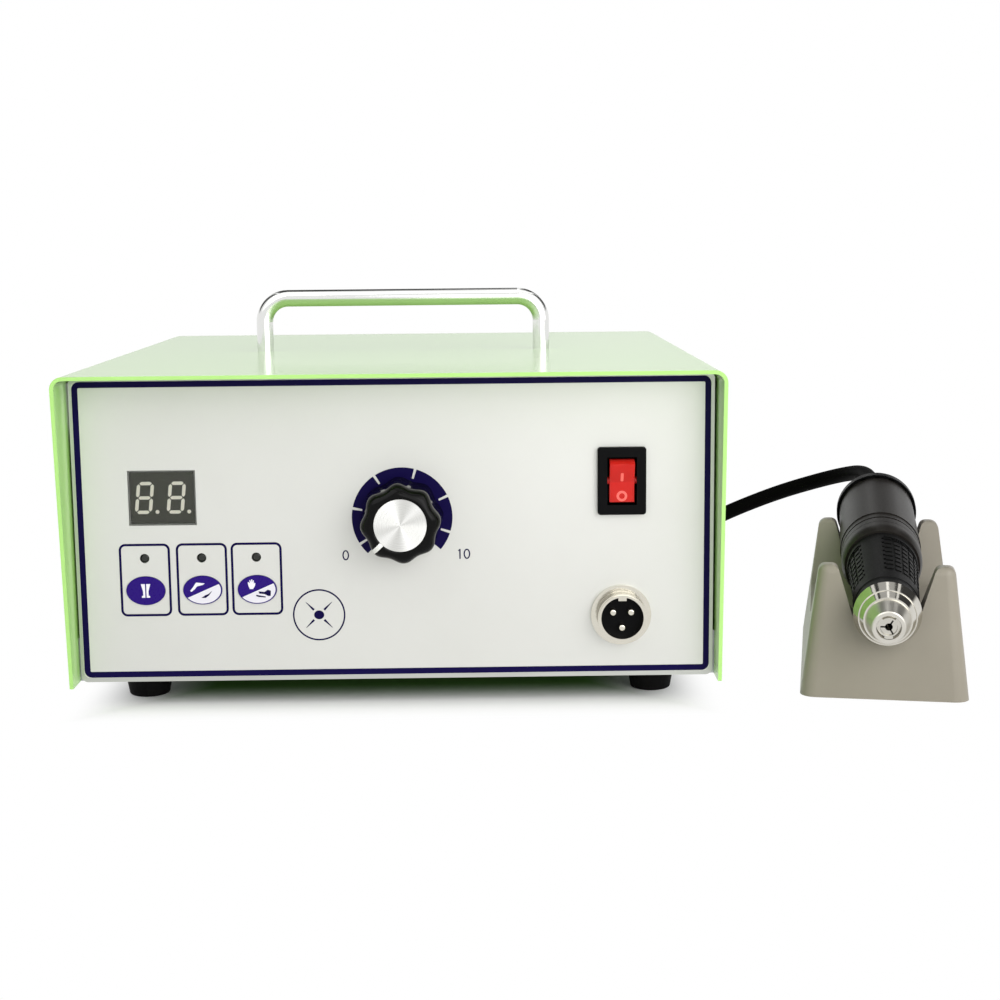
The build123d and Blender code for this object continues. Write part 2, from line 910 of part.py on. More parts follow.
def knob_skirt():
    rim_drop = knob_front - knob_shoulder_drop
    cap_seat = knob_cap_radius + press_gap
    lip = cap_seat + knob_rim / 2
    skirt = Line((knob_base_radius, knob_back), (knob_shoulder_radius, rim_drop))
    bend = ThreePointArc((knob_shoulder_radius, rim_drop),
                         (lip + (knob_shoulder_radius - lip) * cos(pi / 4),
                          rim_drop + knob_shoulder_drop * sin(pi / 4)), (lip, knob_front))
    top = Polyline((lip, knob_front), (0, knob_front), (0, knob_back), (knob_base_radius, knob_back))
    body = revolve(make_face(Plane.XZ * Wire([skirt, bend] + top.edges())), Axis.Z)
    circle = knob_base_radius - knob_scallop_depth + knob_scallop_radius
    for index in range(knob_scallop_count):
        turn = radians(knob_scallop_turn + index * 360 / knob_scallop_count)
        place = (circle * cos(turn), circle * sin(turn))
        body -= rod("z", knob_scallop_radius, (knob_back - overrun, knob_front + overrun), place)
    body -= rod("z", cap_seat, (knob_front - knob_cap_sheet, knob_front + overrun))
    hollow = knob_base_radius - knob_scallop_depth - knob_wall
    body -= rod("z", hollow, (knob_back - overrun, knob_roof))
    body -= rod("z", pot_shaft_radius + press_gap, (knob_back - overrun, pot_shaft_front + loose_gap))
    return facing(body, knob_x, knob_z)


def knob_cap():
    return facing(rod("z", knob_cap_radius, (knob_front - knob_cap_sheet, knob_front)), knob_x, knob_z)


# Power switch
def switch_body():
    bezel = rounded_plate(bezel_width, bezel_height, bezel_corner, (-bezel_rise, 0))
    bezel = fillet(bezel.edges().group_by(Axis.Y)[0], bezel_edge)
    half_width = switch_body_width / 2
    half_height = switch_body_height / 2
    body = bezel + block(both_sides(half_width), (0, switch_body_depth), both_sides(half_height))
    body -= block(both_sides(switch_cavity_width / 2), (-bezel_rise - overrun, switch_cavity_depth),
                  both_sides(switch_cavity_height / 2))
    pin_end = rocker_width / 2 + rocker_pin_reach + fit_gap
    body -= rod("x", rocker_pin_radius + running_gap, both_sides(pin_end), (rocker_axis_y, 0))
    for index in (-1, 0, 1):
        z = index * switch_tab_pitch
        body += block(both_sides(switch_tab_width / 2),
                      (switch_body_depth, switch_body_depth + switch_tab_length),
                      (z - switch_tab_sheet / 2, z + switch_tab_sheet / 2))
    return Pos(switch_x, 0, switch_z) * body


def rocker():
    """The rocker is drawn level, about its own axis, and then swung back to its off end."""
    slope = tan(radians(rocker_swing))
    reach = rocker_reach
    ahead = rocker_waist + reach * slope
    outline = Polyline((-rocker_waist, 0), (-ahead, reach), (rocker_heel, reach), (rocker_heel, -reach),
                       (-ahead, -reach), close=True)
    wedge = extrude(make_face(Plane.YZ * outline), amount=rocker_width / 2, both=True)
    wedge &= rod("x", reach, both_sides(rocker_width / 2))
    pin_end = rocker_width / 2 + rocker_pin_reach
    wedge += rod("x", rocker_pin_radius, both_sides(pin_end))
    return Pos(switch_x, rocker_axis_y, switch_z) * Rot(rocker_swing, 0, 0) * wedge


# Handpiece socket
def socket_shell():
    shell = rod("z", socket_flange_radius, (0, socket_flange_sheet))
    shell += rod("z", socket_barrel_radius, (-socket_tail_end, socket_barrel_reach))
    turns = int((socket_barrel_reach - socket_flange_sheet) / socket_thread_pitch)
    for index in range(turns):
        low = socket_flange_sheet + (index + 0.5) * socket_thread_pitch
        groove = rod("z", socket_barrel_radius + overrun, (low, low + socket_thread_pitch / 2))
        groove -= rod("z", socket_barrel_radius - socket_thread_depth,
                      (low - overrun, low + socket_thread_pitch + overrun))
        shell -= groove
    shell -= rod("z", socket_bore_radius, (-socket_tail_end - overrun, socket_barrel_reach + overrun))
    key_low = socket_bore_radius - socket_key_height
    face = socket_barrel_reach - socket_face_depth
    key_top = (socket_bore_radius + socket_barrel_radius) / 2
    shell += block(both_sides(socket_key_width / 2), (key_low, key_top), (face, socket_barrel_reach))
    return facing(shell, socket_x, socket_z)


socket_pin_places = [(socket_pin_circle * cos(radians(turn)), socket_pin_circle * sin(radians(turn)))
                     for turn in socket_pin_turns]
socket_face = socket_barrel_reach - socket_face_depth


def socket_insert():
    body = rod("z", socket_bore_radius, (socket_face - socket_insert_depth, socket_face))
    for place in socket_pin_places:
        ends = (socket_face - socket_insert_depth - overrun, socket_face + overrun)
        body -= rod("z", socket_pin_radius + press_gap, ends, place)
    return facing(body, socket_x, socket_z)


def socket_pins():
    ends = (socket_face - socket_insert_depth - socket_pin_tail, socket_barrel_reach - socket_pin_inset)
    pieces = []
    for place in socket_pin_places:
        pin = rod("z", socket_pin_radius, ends, place)
        pieces.append(fillet(pin.edges().group_by(Axis.Z)[-1], socket_pin_radius / 2))
    return facing(group(pieces), socket_x, socket_z)


def socket_nut():
    heights = (-panel_back - socket_nut_sheet, -panel_back)
    return facing(hexagon(socket_nut_flats, heights, socket_barrel_radius + fit_gap), socket_x, socket_z)


# Rear panel fittings
def power_inlet():
    flange_ys = (rear_face, cover_back)
    body = rounded_plate(inlet_flange_width, inlet_flange_height, inlet_corner, flange_ys)
    half_width = inlet_body_width / 2
    half_height = inlet_body_height / 2
    depths = (rear_face - inlet_body_depth, rear_face)
    body += block(both_sides(half_width), depths, both_sides(half_height))
    half_width = inlet_cavity_width / 2
    half_height = inlet_cavity_height / 2
    floor = cover_back - inlet_cavity_depth
    cavity = block(both_sides(half_width), (floor, cover_back + overrun), both_sides(half_height))
    upper_edges = cavity.edges().filter_by(Axis.Y).group_by(Axis.Z)[-1]
    body -= chamfer(upper_edges, inlet_cavity_chamfer)
    for side in (-1, 1):
        x = side * inlet_screw_span / 2
        body -= rod("y", small_hole, (rear_face - overrun, cover_back + overrun), (x, 0))
    for low_x, high_x, low_z, high_z in inlet_blade_spans(press_gap):
        body -= block((low_x, high_x), (rear_face - inlet_body_depth - overrun, floor + overrun),
                      (low_z, high_z))
    return Pos(inlet_x, 0, inlet_z) * body


def inlet_blade_spans(gap):
    """The cross-sections of the three blades: two level ones and the earth blade in the middle."""
    spans = []
    for x, z in ((-inlet_blade_span / 2, -inlet_blade_shift), (0, inlet_blade_shift),
                 (inlet_blade_span / 2, -inlet_blade_shift)):
        half_width = inlet_blade_width / 2 + gap
        half_height = inlet_blade_height / 2 + gap
        spans.append((x - half_width, x + half_width, z - half_height, z + half_height))
    return spans


def inlet_pins():
    ys = (rear_face - inlet_body_depth - inlet_tab_length, cover_back - inlet_blade_inset)
    blades = [block((low_x, high_x), ys, (low_z, high_z))
              for low_x, high_x, low_z, high_z in inlet_blade_spans(0)]
    return Pos(inlet_x, 0, inlet_z) * group(blades)


def fuse_holder():
    body = rod("z", fuse_flange_radius, (rear_face, cover_back))
    body += rod("z", fuse_body_radius, (rear_face - fuse_body_depth, rear_face))
    bore = (cover_back - fuse_bore_depth, cover_back + overrun)
    body -= rod("z", fuse_bore_radius + running_gap, bore)
    nut_ends = (rear_inside - fuse_nut_sheet, rear_inside)
    nut = hexagon(fuse_nut_flats, nut_ends, fuse_body_radius + fit_gap)
    return facing_back(group([body, nut]), fuse_x, fuse_z)


def fuse_cap():
    cap = rod("z", fuse_cap_radius, (cover_back, fuse_front_end))
    for index in range(fuse_grip_count):
        turn = radians(index * 360 / fuse_grip_count)
        place = (fuse_cap_radius * cos(turn), fuse_cap_radius * sin(turn))
        cap -= rod("z", fuse_grip_depth, (cover_back + fuse_grip_depth, fuse_front_end + overrun), place)
    cap += rod("z", fuse_bore_radius, (cover_back - fuse_plug_depth, cover_back))
    cap -= block(both_sides(fuse_bore_radius), both_sides(fuse_slot_width / 2),
                 (fuse_front_end - fuse_slot_depth, fuse_front_end + overrun))
    return facing_back(cap, fuse_x, fuse_z)


def pedal_socket():
    front = rear_face + pedal_bushing_reach
    half_width = pedal_body_width / 2
    half_height = pedal_body_height / 2
    depths = (rear_inside - pedal_body_depth, rear_inside)
    body = block(both_sides(half_width), both_sides(half_height), depths)
    body += rod("z", pedal_bushing_radius, (rear_inside, front))
    body -= rod("z", pedal_bore_radius, (front - pedal_bore_depth, front + overrun))
    nut_ends = (rear_face, rear_face + pedal_nut_sheet)
    nut = hexagon(pedal_nut_flats, nut_ends, pedal_bushing_radius + fit_gap)
    return facing_back(group([body, nut]), pedal_x, pedal_z)


# Transformer
core_low = pan_floor
core_high = pan_floor + core_height
limb = core_width / 6


def transformer_core():
    half = core_width / 2
    ys = both_sides(core_depth / 2)
    core = block(both_sides(half), ys, (core_low, core_high))
    for side in (-1, 1):
        spans = (side * limb, side * 2 * limb)
        core -= block(spans, both_sides(core_depth / 2 + overrun), (core_low + limb, core_high - limb))
    return Pos(core_x, core_y, 0) * core


def transformer_winding():
    across = both_sides(2 * limb - winding_slack)
    along = both_sides(core_depth / 2 + winding_overhang)
    up = (core_low + limb + winding_slack, core_high - limb - winding_slack)
    coil = block(across, along, up)
    coil = fillet(coil.edges().filter_by(Axis.Z), winding_corner)
    coil -= block(both_sides(limb), both_sides(core_depth / 2), (up[0] - overrun, up[1] + overrun))
    return Pos(core_x, core_y, 0) * coil


def transformer_frame():
    ys = both_sides(frame_width / 2)
    top = core_high + frame_sheet
    strap = block(both_sides(frame_side), ys, (core_low, top))
    strap += block(both_sides(frame_reach), ys, (pan_floor, pan_floor + frame_sheet))
    strap -= block(both_sides(core_width / 2), both_sides(frame_width), (core_low - overrun, core_high))
    for side in (-1, 1):
        x = side * (frame_side + frame_foot / 2)
        strap -= rod("z", large_hole, (pan_floor - overrun, pan_floor + frame_sheet + overrun), (x, 0))
    return Pos(core_x, core_y, 0) * strap


# Driver board
board_middle_x = (driver_board_left + driver_board_right) / 2
sink_back = driver_board_back - post_inset - post_cap_radius - sink_inset
sink_front = sink_back - sink_fin_depth - sink_base


def driver_board():
    board = block((driver_board_left, driver_board_right), (driver_board_front, driver_board_back),
                  (driver_board_low, driver_board_top))
    for x in driver_post_xs:
        for y in driver_post_ys:
            hole = (driver_board_low - overrun, driver_board_top + overrun)
            board -= rod("z", post_pin_radius + fit_gap, hole, (x, y))
    return board


def heatsink():
    low, high = driver_board_top, driver_board_top + sink_height
    left, right = board_middle_x - sink_width / 2, board_middle_x + sink_width / 2
    body = block((left, right), (sink_front, sink_front + sink_base), (low, high))
    pitch = (sink_width - sink_fin_sheet) / (sink_fin_count - 1)
    for index in range(sink_fin_count):
        x = left + index * pitch
        body += block((x, x + sink_fin_sheet), (sink_front + sink_base, sink_back), (low, high))
    return body


def power_transistors():
    pieces = []
    low = driver_board_top + transistor_lift
    for index in range(transistor_count):
        x = board_middle_x + (index - (transistor_count - 1) / 2) * transistor_pitch
        across = (x - transistor_width / 2, x + transistor_width / 2)
        tab_front = sink_front - transistor_tab_sheet
        body_top = low + transistor_body_height
        body = block(across, (sink_front - transistor_body_depth, sink_front), (low, body_top))
        body += block(across, (tab_front, sink_front), (body_top, body_top + transistor_tab_height))
        for leg in (-1, 0, 1):
            middle = x + leg * transistor_leg_pitch
            back = sink_front - transistor_leg
            body += block((middle - transistor_leg / 2, middle + transistor_leg / 2),
                          (back - transistor_leg, back), (driver_board_top, low))
        pieces.append(body)
    return group(pieces)


def capacitors():
    pieces = []
    for radius, height, pitch, front in ((can_radius, can_height, can_pitch, can_front),
                                         (small_can_radius, small_can_height, small_can_pitch, small_can_front)):
        for side in (-1, 1):
            place = (board_middle_x + side * pitch / 2, driver_board_front + front)
            can = rod("z", radius, (driver_board_top, driver_board_top + height), place)
            pieces.append(fillet(can.edges().group_by(Axis.Z)[-1], can_edge))
    return group(pieces)


# Handpiece, along its own Z axis from the face of its tip
def nosepiece():
    points = [(nose_bore, 0), (tip_radius - tip_edge, 0), (tip_radius, tip_edge),
              (cone_radius, cone_length), (band_front, cone_length),
              (band_front_radius, band_step), (band_rear, band_step),
              (nose_radius, nose_length), (nose_bore, nose_length)]
    return turned(points)


def front_grip():
    collar = nose_length + grip_collar_length
    body = turned([(grip_bore, nose_length), (grip_front_radius, nose_length),
                   (grip_front_radius, collar), (grip_front_radius + loose_gap, collar + loose_gap),
                   (grip_rear_radius, grip_end), (grip_bore, grip_end)])
    return body - grip_pad_cutters()


def grip_radius(s):
    """The grip's outer radius at a place along the axis."""
    start = nose_length + grip_collar_length + loose_gap
    front = grip_front_radius + loose_gap
    return front + (grip_rear_radius - front) * (s - start) / (grip_end - start)


def grip_skin(first, last, depth):
    """A thin section along the grip's surface, as deep as depth, between two places on the axis."""
    return [(grip_radius(first) - depth, first), (grip_radius(first) + overrun, first),
            (grip_radius(last) + overrun, last), (grip_radius(last) - depth, last)]


def grip_pad_cutters():
    """Sunk pads along the grip, each with rows of short grooves across and a few along."""
    row_pitch = (grip_pad_back - grip_pad_front) / grip_row_count
    column_pitch = grip_pad_span / (grip_column_count + 1)
    full_depth = grip_pad_depth + grip_groove_depth
    along = grip_skin(grip_pad_front, grip_pad_back, full_depth)
    cutters = []
    for pad in range(grip_pad_count):
        turn = grip_pad_turn + pad * 360 / grip_pad_count
        pocket = grip_skin(grip_pad_front, grip_pad_back, grip_pad_depth)
        cutters.append(sector(pocket, turn, grip_pad_span))
        for row in range(grip_row_count):
            start = grip_pad_front + (row + 0.5) * row_pitch - grip_row_width / 2
            across = grip_skin(start, start + grip_row_width, full_depth)
            cutters.append(sector(across, turn, grip_pad_span + 2 * grip_row_reach))
        for column in range(grip_column_count):
            place = turn + (column + 1) * column_pitch - grip_pad_span / 2
            cutters.append(sector(along, place, grip_column_span))
    return cutters


def motor_housing():
    """Its front is an arched shoulder wider than the grip, then a ring with grooves."""
    round_end = grip_end + shoulder_round
    arch = TangentArc((ring_radius, round_end), (shoulder_radius, grip_end), tangent=(0, -1))
    rest = Polyline((shoulder_radius, grip_end), (neck_radius, grip_end), (neck_radius, neck_front),
                    (neck_bore, neck_front), (neck_bore, stator_front), (housing_bore, stator_front),
                    (housing_bore, housing_end), (housing_rear_radius, housing_end),
                    (housing_front_radius, ring_end), (ring_radius, ring_end), (ring_radius, round_end))
    body = revolve(make_face(Plane.XZ * Wire([arch] + rest.edges())), Axis.Z)
    for start, width, depth in ring_grooves:
        ends = (start, start + width)
        body -= rod("z", ring_radius + overrun, ends) - rod("z", ring_radius - depth, ends)
    return body


def tail_cap():
    dome = Spline((tail_rim_radius - tail_rim_step, tail_rim_end),
                  (tail_shoulder_radius, (tail_rim_end + tail_end) / 2),
                  (tail_end_radius, tail_end))
    rest = Polyline((tail_end_radius, tail_end), (0, tail_end), (0, housing_end),
                    (tail_rim_radius, housing_end), (tail_rim_radius, tail_rim_end),
                    (tail_rim_radius - tail_rim_step, tail_rim_end))
    body = revolve(make_face(Plane.XZ * Wire([dome] + rest.edges())), Axis.Z)
    for index in range(tail_vent_count):
        notch = block((housing_rear_radius, housing_rear_radius + tail_vent_depth),
                      both_sides(tail_vent_width / 2),
                      (housing_end - overrun, (housing_end + tail_rim_end) / 2))
        body -= Rot(0, 0, index * 360 / tail_vent_count) * notch
    hub = spindle_radius + loose_gap
    return body - rod("z", hub, (housing_end - overrun, housing_end + loose_gap))


def tapered_relief(front_radius, back_radius, start, length, grooves):
    """A tapered rubber sleeve with rings cut into it."""
    points = [(0, start), (front_radius, start), (back_radius, start + length), (0, start + length)]
    body = turned(points)
    pitch = length / (grooves + 1)
    for index in range(grooves):
        middle = start + (index + 1) * pitch
        radius = front_radius + (back_radius - front_radius) * (index + 1) / (grooves + 1)
        width = relief_groove_width
        ring = rod("z", radius + overrun, (middle - width / 2, middle + width / 2))
        body -= ring - rod("z", radius - relief_groove_depth, (middle - width, middle + width))
    return body


def tail_strain_relief():
    return tapered_relief(relief_front_radius, relief_back_radius, tail_end, relief_length,
                          relief_groove_count)


def stator():
    return (rod("z", housing_bore - press_gap, (stator_front, stator_back))
            - rod("z", stator_bore, (stator_front - overrun, stator_back + overrun)))


def spindle_bearings():
    rings = []
    for start, seat in ((bearing_front, neck_bore), (bearing_rear, housing_bore)):
        end = start + bearing_sheet
        ring = rod("z", seat - press_gap, (start, end))
        ring -= rod("z", spindle_radius + running_gap, (start - overrun, end + overrun))
        rings.append(ring)
    return group(rings)


def spindle():
    nose_end = spindle_nose_inset + spindle_nose_length
    body = rod("z", spindle_nose_radius - running_gap, (spindle_nose_inset, nose_end))
    body += rod("z", spindle_radius, (nose_end, spindle_end))
    bore_end = collet_inset + collet_length + collet_travel + loose_gap
    body -= rod("z", spindle_bore, (spindle_nose_inset - overrun, bore_end))
    slot_start = spindle_nose_inset - overrun
    slot_end = spindle_nose_inset + spindle_slot_depth
    slot_edge = spindle_nose_radius + overrun
    slot = [(spindle_slot_radius, slot_start), (slot_edge, slot_start), (slot_edge, slot_end),
            (spindle_slot_radius, slot_end)]
    for index in range(spindle_lug_count):
        turn = spindle_slot_turn + index * 360 / spindle_lug_count
        body -= sector(slot, turn, spindle_slot_span)
    return body


def collet():
    ends = (collet_inset, collet_inset + collet_length)
    body = rod("z", spindle_bore - running_gap, ends)
    body -= rod("z", collet_bore, (ends[0] - overrun, ends[1] + overrun))
    for index in range(collet_slit_count):
        slit = block((0, spindle_bore + overrun), both_sides(collet_slit / 2),
                     (ends[0] - overrun, ends[0] + collet_slit_length))
        body -= Rot(0, 0, index * 360 / collet_slit_count) * slit
    return body


def rotor_magnet():
    ends = (stator_front + magnet_inset, stator_back - magnet_inset)
    return (rod("z", magnet_radius, ends)
            - rod("z", spindle_radius + press_gap, (ends[0] - overrun, ends[1] + overrun)))


# Where the handpiece lies: its axis is in the cradle's middle plane and rises to the rear
axis_turn = radians(cradle_turn)
axis_tilt = radians(tip_tilt)
tip_x = cradle_x - tip_ahead * sin(axis_turn)
tip_y = cradle_y - tip_ahead * cos(axis_turn)
axis_flat = cos(axis_tilt)
axis_direction = (sin(axis_turn) * axis_flat, cos(axis_turn) * axis_flat, sin(axis_tilt))
side_direction = (-cos(axis_turn), sin(axis_turn), 0)
handpiece_plane = Plane(origin=(tip_x, tip_y, tip_z), x_dir=side_direction, z_dir=axis_direction)


def in_hand(shape):
    return handpiece_plane.location * shape


# Cradle, about the middle of its front edge, with Y to the rear
cradle_place = Pos(cradle_x, cradle_y, 0) * Rot(0, 0, -cradle_turn)


def housing_radius(s):
    """The motor housing's outer radius at a place along the axis."""
    slope = (housing_rear_radius - housing_front_radius) / (housing_end - ring_end)
    return housing_front_radius + slope * (s - ring_end)


def trough_section(s, radius):
    """The trough's upright section under one place on the axis: round below, flaring above."""
    flare = radians(notch_flare)
    radius = (radius + cradle_gap) / axis_flat
    middle = tip_z + s * sin(axis_tilt)
    top = cradle_height + overrun
    half, edge = radius * cos(flare), middle - radius * sin(flare)
    wide = half + (top - edge) * tan(flare)
    arc = ThreePointArc((-half, edge), (0, middle - radius), (half, edge))
    rest = Polyline((half, edge), (wide, top), (-wide, top), (-half, edge))
    outline = Plane.XZ * Wire([arc] + rest.edges())
    return Pos(0, s * axis_flat - tip_ahead, 0) * make_face(outline)


def trough_cutter():
    start = (tip_ahead - overrun) / axis_flat
    end = (tip_ahead + cradle_length + overrun) / axis_flat
    front = [trough_section(start, nose_radius), trough_section(grip_end, housing_front_radius)]
    rear = [trough_section(grip_end, housing_front_radius), trough_section(end, housing_radius(end))]
    return loft(front, ruled=True) + loft(rear, ruled=True)


def saddle_cutter():
    """The dip in the side walls between the front and the rear prongs."""
    top = cradle_height + overrun
    slope = (saddle_foot - prong_length) / (cradle_height - saddle_low)
    out = slope * overrun
    front, rear = prong_length, cradle_length - prong_length
    outline = Polyline((front - out, top), (saddle_foot, saddle_low),
                       (cradle_length - saddle_foot, saddle_low), (rear + out, top), close=True)
    cutter = extrude(make_face(Plane.YZ * outline), amount=cradle_width, both=True)
    return fillet(cutter.edges().filter_by(Axis.X).group_by(Axis.Z)[0], saddle_round)


def handpiece_cradle():
    half_top = cradle_width / 2 - cradle_side_draft
    base = Pos(0, cradle_length / 2, 0) * RectangleRounded(cradle_width, cradle_length, cradle_edge)
    top = (Pos(0, cradle_length / 2, cradle_height)
           * RectangleRounded(2 * half_top, cradle_length - 2 * cradle_end_draft, cradle_top_edge))
    body = loft([base, top], ruled=True)
    body -= trough_cutter()
    body -= saddle_cutter()
    tips = body.faces().filter_by(Axis.Z).group_by(Axis.Z)[-1]
    rims = [edge for face in tips for edge in face.edges()]
    body = fillet(rims, prong_round)
    draft = cradle_side_draft / cradle_height
    low_width, low_length = cradle_width - 2 * cradle_wall, cradle_length - 2 * cradle_wall
    shrink = 2 * draft * cradle_hollow
    mouth = Pos(0, cradle_length / 2, -overrun) * Rectangle(low_width, low_length)
    roof = Pos(0, cradle_length / 2, cradle_hollow) * Rectangle(low_width - shrink, low_length - shrink)
    return cradle_place * (body - loft([mouth, roof], ruled=True))


# Cord: where it leaves the handpiece, where it lies and where it is coiled
cord_low = tie_sheet + tie_gap + cord_radius
cord_high = plug_ring_radius
tip_place = (tip_x, tip_y, tip_z)
cord_exit = tuple(place + relief_end * step for place, step in zip(tip_place, axis_direction))
cord_first = tuple(place + cord_straight * step for place, step in zip(cord_exit, axis_direction))
coil_layer_halves = coil_turn_count
coil_outer = coil_across / 2 + coil_layer_halves * coil_pitch / 4
coil_y = coil_front + coil_outer
coil_inner = coil_outer - coil_layer_halves * coil_pitch / 2
coil_start = (coil_x + 2 * cord_radius, coil_front, cord_low)
cord_points = [cord_exit, cord_first]
cord_points += [(case_half + right, cover_back + behind, height) for right, behind, height in lead_route]
cord_points += [(coil_x + lead_end_apart, coil_front, cord_low), coil_start]


def cord_bends(points):
    """The radius of each bend, as large as its shorter run lets it be."""
    radii = []
    for before, here, after in zip(points, points[1:], points[2:]):
        first = Vector(*here) - Vector(*before)
        second = Vector(*after) - Vector(*here)
        half = radians(first.get_angle(second)) / 2
        radii.append(bend_share * min(first.length, second.length) / tan(half))
    return radii


def cord_lead():
    radii = cord_bends(cord_points)
    print("cord bends", [round(radius, 1) for radius in radii])
    path = FilletPolyline(*cord_points, radius=radii)
    section = Plane(origin=cord_exit, z_dir=axis_direction) * Circle(cord_radius)
    print("cord lead length", round(path.length, 1))
    return sweep(section, path=path)


def coil_halves():
    """The ends of each half turn: distance from the middle line, with its side as sign, and height."""
    places = []
    for index in range(2 * coil_layer_halves + 2):
        if index <= coil_layer_halves:
            radius, height = coil_outer - index * coil_pitch / 2, cord_low
        else:
            radius, height = coil_inner + (index - coil_layer_halves - 1) * coil_pitch / 2, cord_high
        places.append((radius if index % 2 == 0 else -radius, height))
    return places


def coil_point(across, along, height):
    return Vector(coil_x - along, coil_y - across, height)


def coil_path():
    """Half turns that spiral in on the table, climb one layer in a half turn and spiral out again."""
    places = coil_halves()
    edges = [Line(coil_start, coil_point(places[0][0], 0, places[0][1]))]
    for (start, low), (end, high) in zip(places, places[1:]):
        reach = abs(end - start) / 2 if low == high else hypot(end - start, high - low) / 2
        side = 1 if start > 0 else -1
        middle = coil_point((start + end) / 2, side * reach, (low + high) / 2)
        edges.append(ThreePointArc(coil_point(start, 0, low), middle, coil_point(end, 0, high)))
    last = coil_point(places[-1][0], 0, places[-1][1])
    edges.append(Line(last, last + Vector(2 * cord_radius, 0, 0)))
    return Wire(edges)


def coil_gap(path):
    """The least gap of the coil to itself, measured on points along its middle line."""
    count = int(path.length / cord_radius)
    points = [path.position_at(index / count) for index in range(count + 1)]
    apart = int(2 * pi * coil_inner / 2 / cord_radius)
    least = min((points[i] - points[j]).length
                for i in range(count) for j in range(i + apart, count + 1))
    return least - 2 * cord_radius


def cord_coil():
    path = coil_path()
    print("coil length", round(path.length, 1), "least gap", round(coil_gap(path), 2))
    section = Plane(origin=coil_start, z_dir=(-1, 0, 0)) * Circle(cord_radius)
    return sweep(section, path=path)


def cord_tie():
    """A flat strap round all the turns, on the coil's left side."""
    gap = cord_radius + tie_gap
    outer = coil_outer - coil_pitch / 4 + gap
    bend = coil_inner + coil_pitch / 4
    inner = (bend ** 2 - (tie_width / 2 + coil_pitch / 4) ** 2) ** 0.5 - gap
    xs = (coil_x - outer, coil_x - inner)
    zs = (cord_low - gap, cord_high + gap)
    ys = (coil_y - tie_width / 2, coil_y + tie_width / 2)
    strap = block((xs[0] - tie_sheet, xs[1] + tie_sheet), ys, (zs[0] - tie_sheet, zs[1] + tie_sheet))
    strap = fillet(strap.edges().filter_by(Axis.Y), tie_corner + tie_sheet)
    hole = block(xs, (ys[0] - overrun, ys[1] + overrun), zs)
    return strap - fillet(hole.edges().filter_by(Axis.Y), tie_corner)


# Plug, along its own Z axis from the end of the cord
plug_back = plug_tail_length
plug_neck = plug_back + plug_shell_length
plug_lip_end = plug_neck + plug_ring_lip
plug_flange_end = plug_lip_end + plug_flange_sheet
plug_end = plug_flange_end + plug_insert_reach
coil_end_y = coil_y - coil_halves()[-1][0]
plug_place = Plane(origin=(coil_x + 2 * cord_radius, coil_end_y, cord_high), x_dir=(0, 0, 1),
                   z_dir=(1, 0, 0))


def plug_strain_relief():
    body = tapered_relief(relief_back_radius, plug_tail_radius, 0, plug_tail_length, relief_groove_count)
    return plug_place.location * body


def plug_shell():
    shoulder = plug_back + plug_shell_radius - plug_tail_radius
    body = turned([(0, plug_back), (plug_tail_radius, plug_back), (plug_shell_radius, shoulder),
                   (plug_shell_radius, plug_neck), (plug_neck_radius, plug_neck),
                   (plug_neck_radius, plug_lip_end), (plug_shell_radius, plug_lip_end),
                   (plug_shell_radius, plug_flange_end), (0, plug_flange_end)])
    seat = (plug_flange_end - plug_insert_seat, plug_flange_end + overrun)
    return plug_place.location * (body - rod("z", plug_insert_neck + press_gap, seat))


def plug_insert():
    body = rod("z", plug_insert_neck, (plug_flange_end - plug_insert_seat, plug_flange_end))
    body += rod("z", plug_insert_radius, (plug_flange_end, plug_end))
    for place in socket_pin_places:
        hole = (plug_end - plug_hole_depth, plug_end + overrun)
        body -= rod("z", socket_pin_radius + running_gap, hole, place)
    return plug_place.location * body


def plug_ring():
    front = plug_neck + plug_ring_length
    body = rod("z", plug_ring_radius, (plug_neck, front))
    body = chamfer(body.edges(), plug_ring_rib_depth)
    body -= rod("z", plug_neck_radius + running_gap, (plug_neck - overrun, front))
    body -= rod("z", socket_barrel_radius + fit_gap, (plug_lip_end, front + overrun))
    for index in range(plug_ring_rib_count):
        at = (2 * index + 1) * pi / plug_ring_rib_count
        place = (plug_ring_radius * cos(at), plug_ring_radius * sin(at))
        body -= rod("z", plug_ring_rib_depth, (plug_neck + plug_ring_lip, front - plug_ring_lip), place)
    return plug_place.location * body


control_unit_nodes = {
    "base_pan": base_pan, "cover_shell": cover_shell, "case_screws": case_screws,
    "front_panel": front_panel, "front_overlay": front_overlay, "rear_panel": rear_panel,
    "carry_handle": carry_handle, "rubber_feet": rubber_feet,
    "chassis_screws": chassis_screws, "display_window": display_window,
    "display_module": display_module, "display_digits": display_digits,
    "indicator_leds": indicator_leds, "tact_switches": tact_switches,
    "control_board": control_board, "board_standoffs": board_standoffs, "pot_body": pot_body,
    "pot_nut": pot_nut, "pot_shaft": pot_shaft, "knob_skirt": knob_skirt, "knob_cap": knob_cap,
    "switch_body": switch_body, "rocker": rocker, "socket_shell": socket_shell,
    "socket_insert": socket_insert, "socket_pins": socket_pins, "socket_nut": socket_nut,
    "power_inlet": power_inlet, "inlet_pins": inlet_pins, "fuse_holder": fuse_holder,
    "fuse_cap": fuse_cap, "pedal_socket": pedal_socket, "transformer_core": transformer_core,
    "transformer_winding": transformer_winding, "transformer_frame": transformer_frame,
    "driver_board": driver_board, "heatsink": heatsink, "power_transistors": power_transistors,
    "capacitors": capacitors,
}
handpiece_nodes = {
    "nosepiece": nosepiece, "front_grip": front_grip, "motor_housing": motor_housing,
    "tail_cap": tail_cap, "tail_strain_relief": tail_strain_relief, "stator": stator,
    "spindle_bearings": spindle_bearings, "spindle": spindle, "collet": collet,
    "rotor_magnet": rotor_magnet,
}

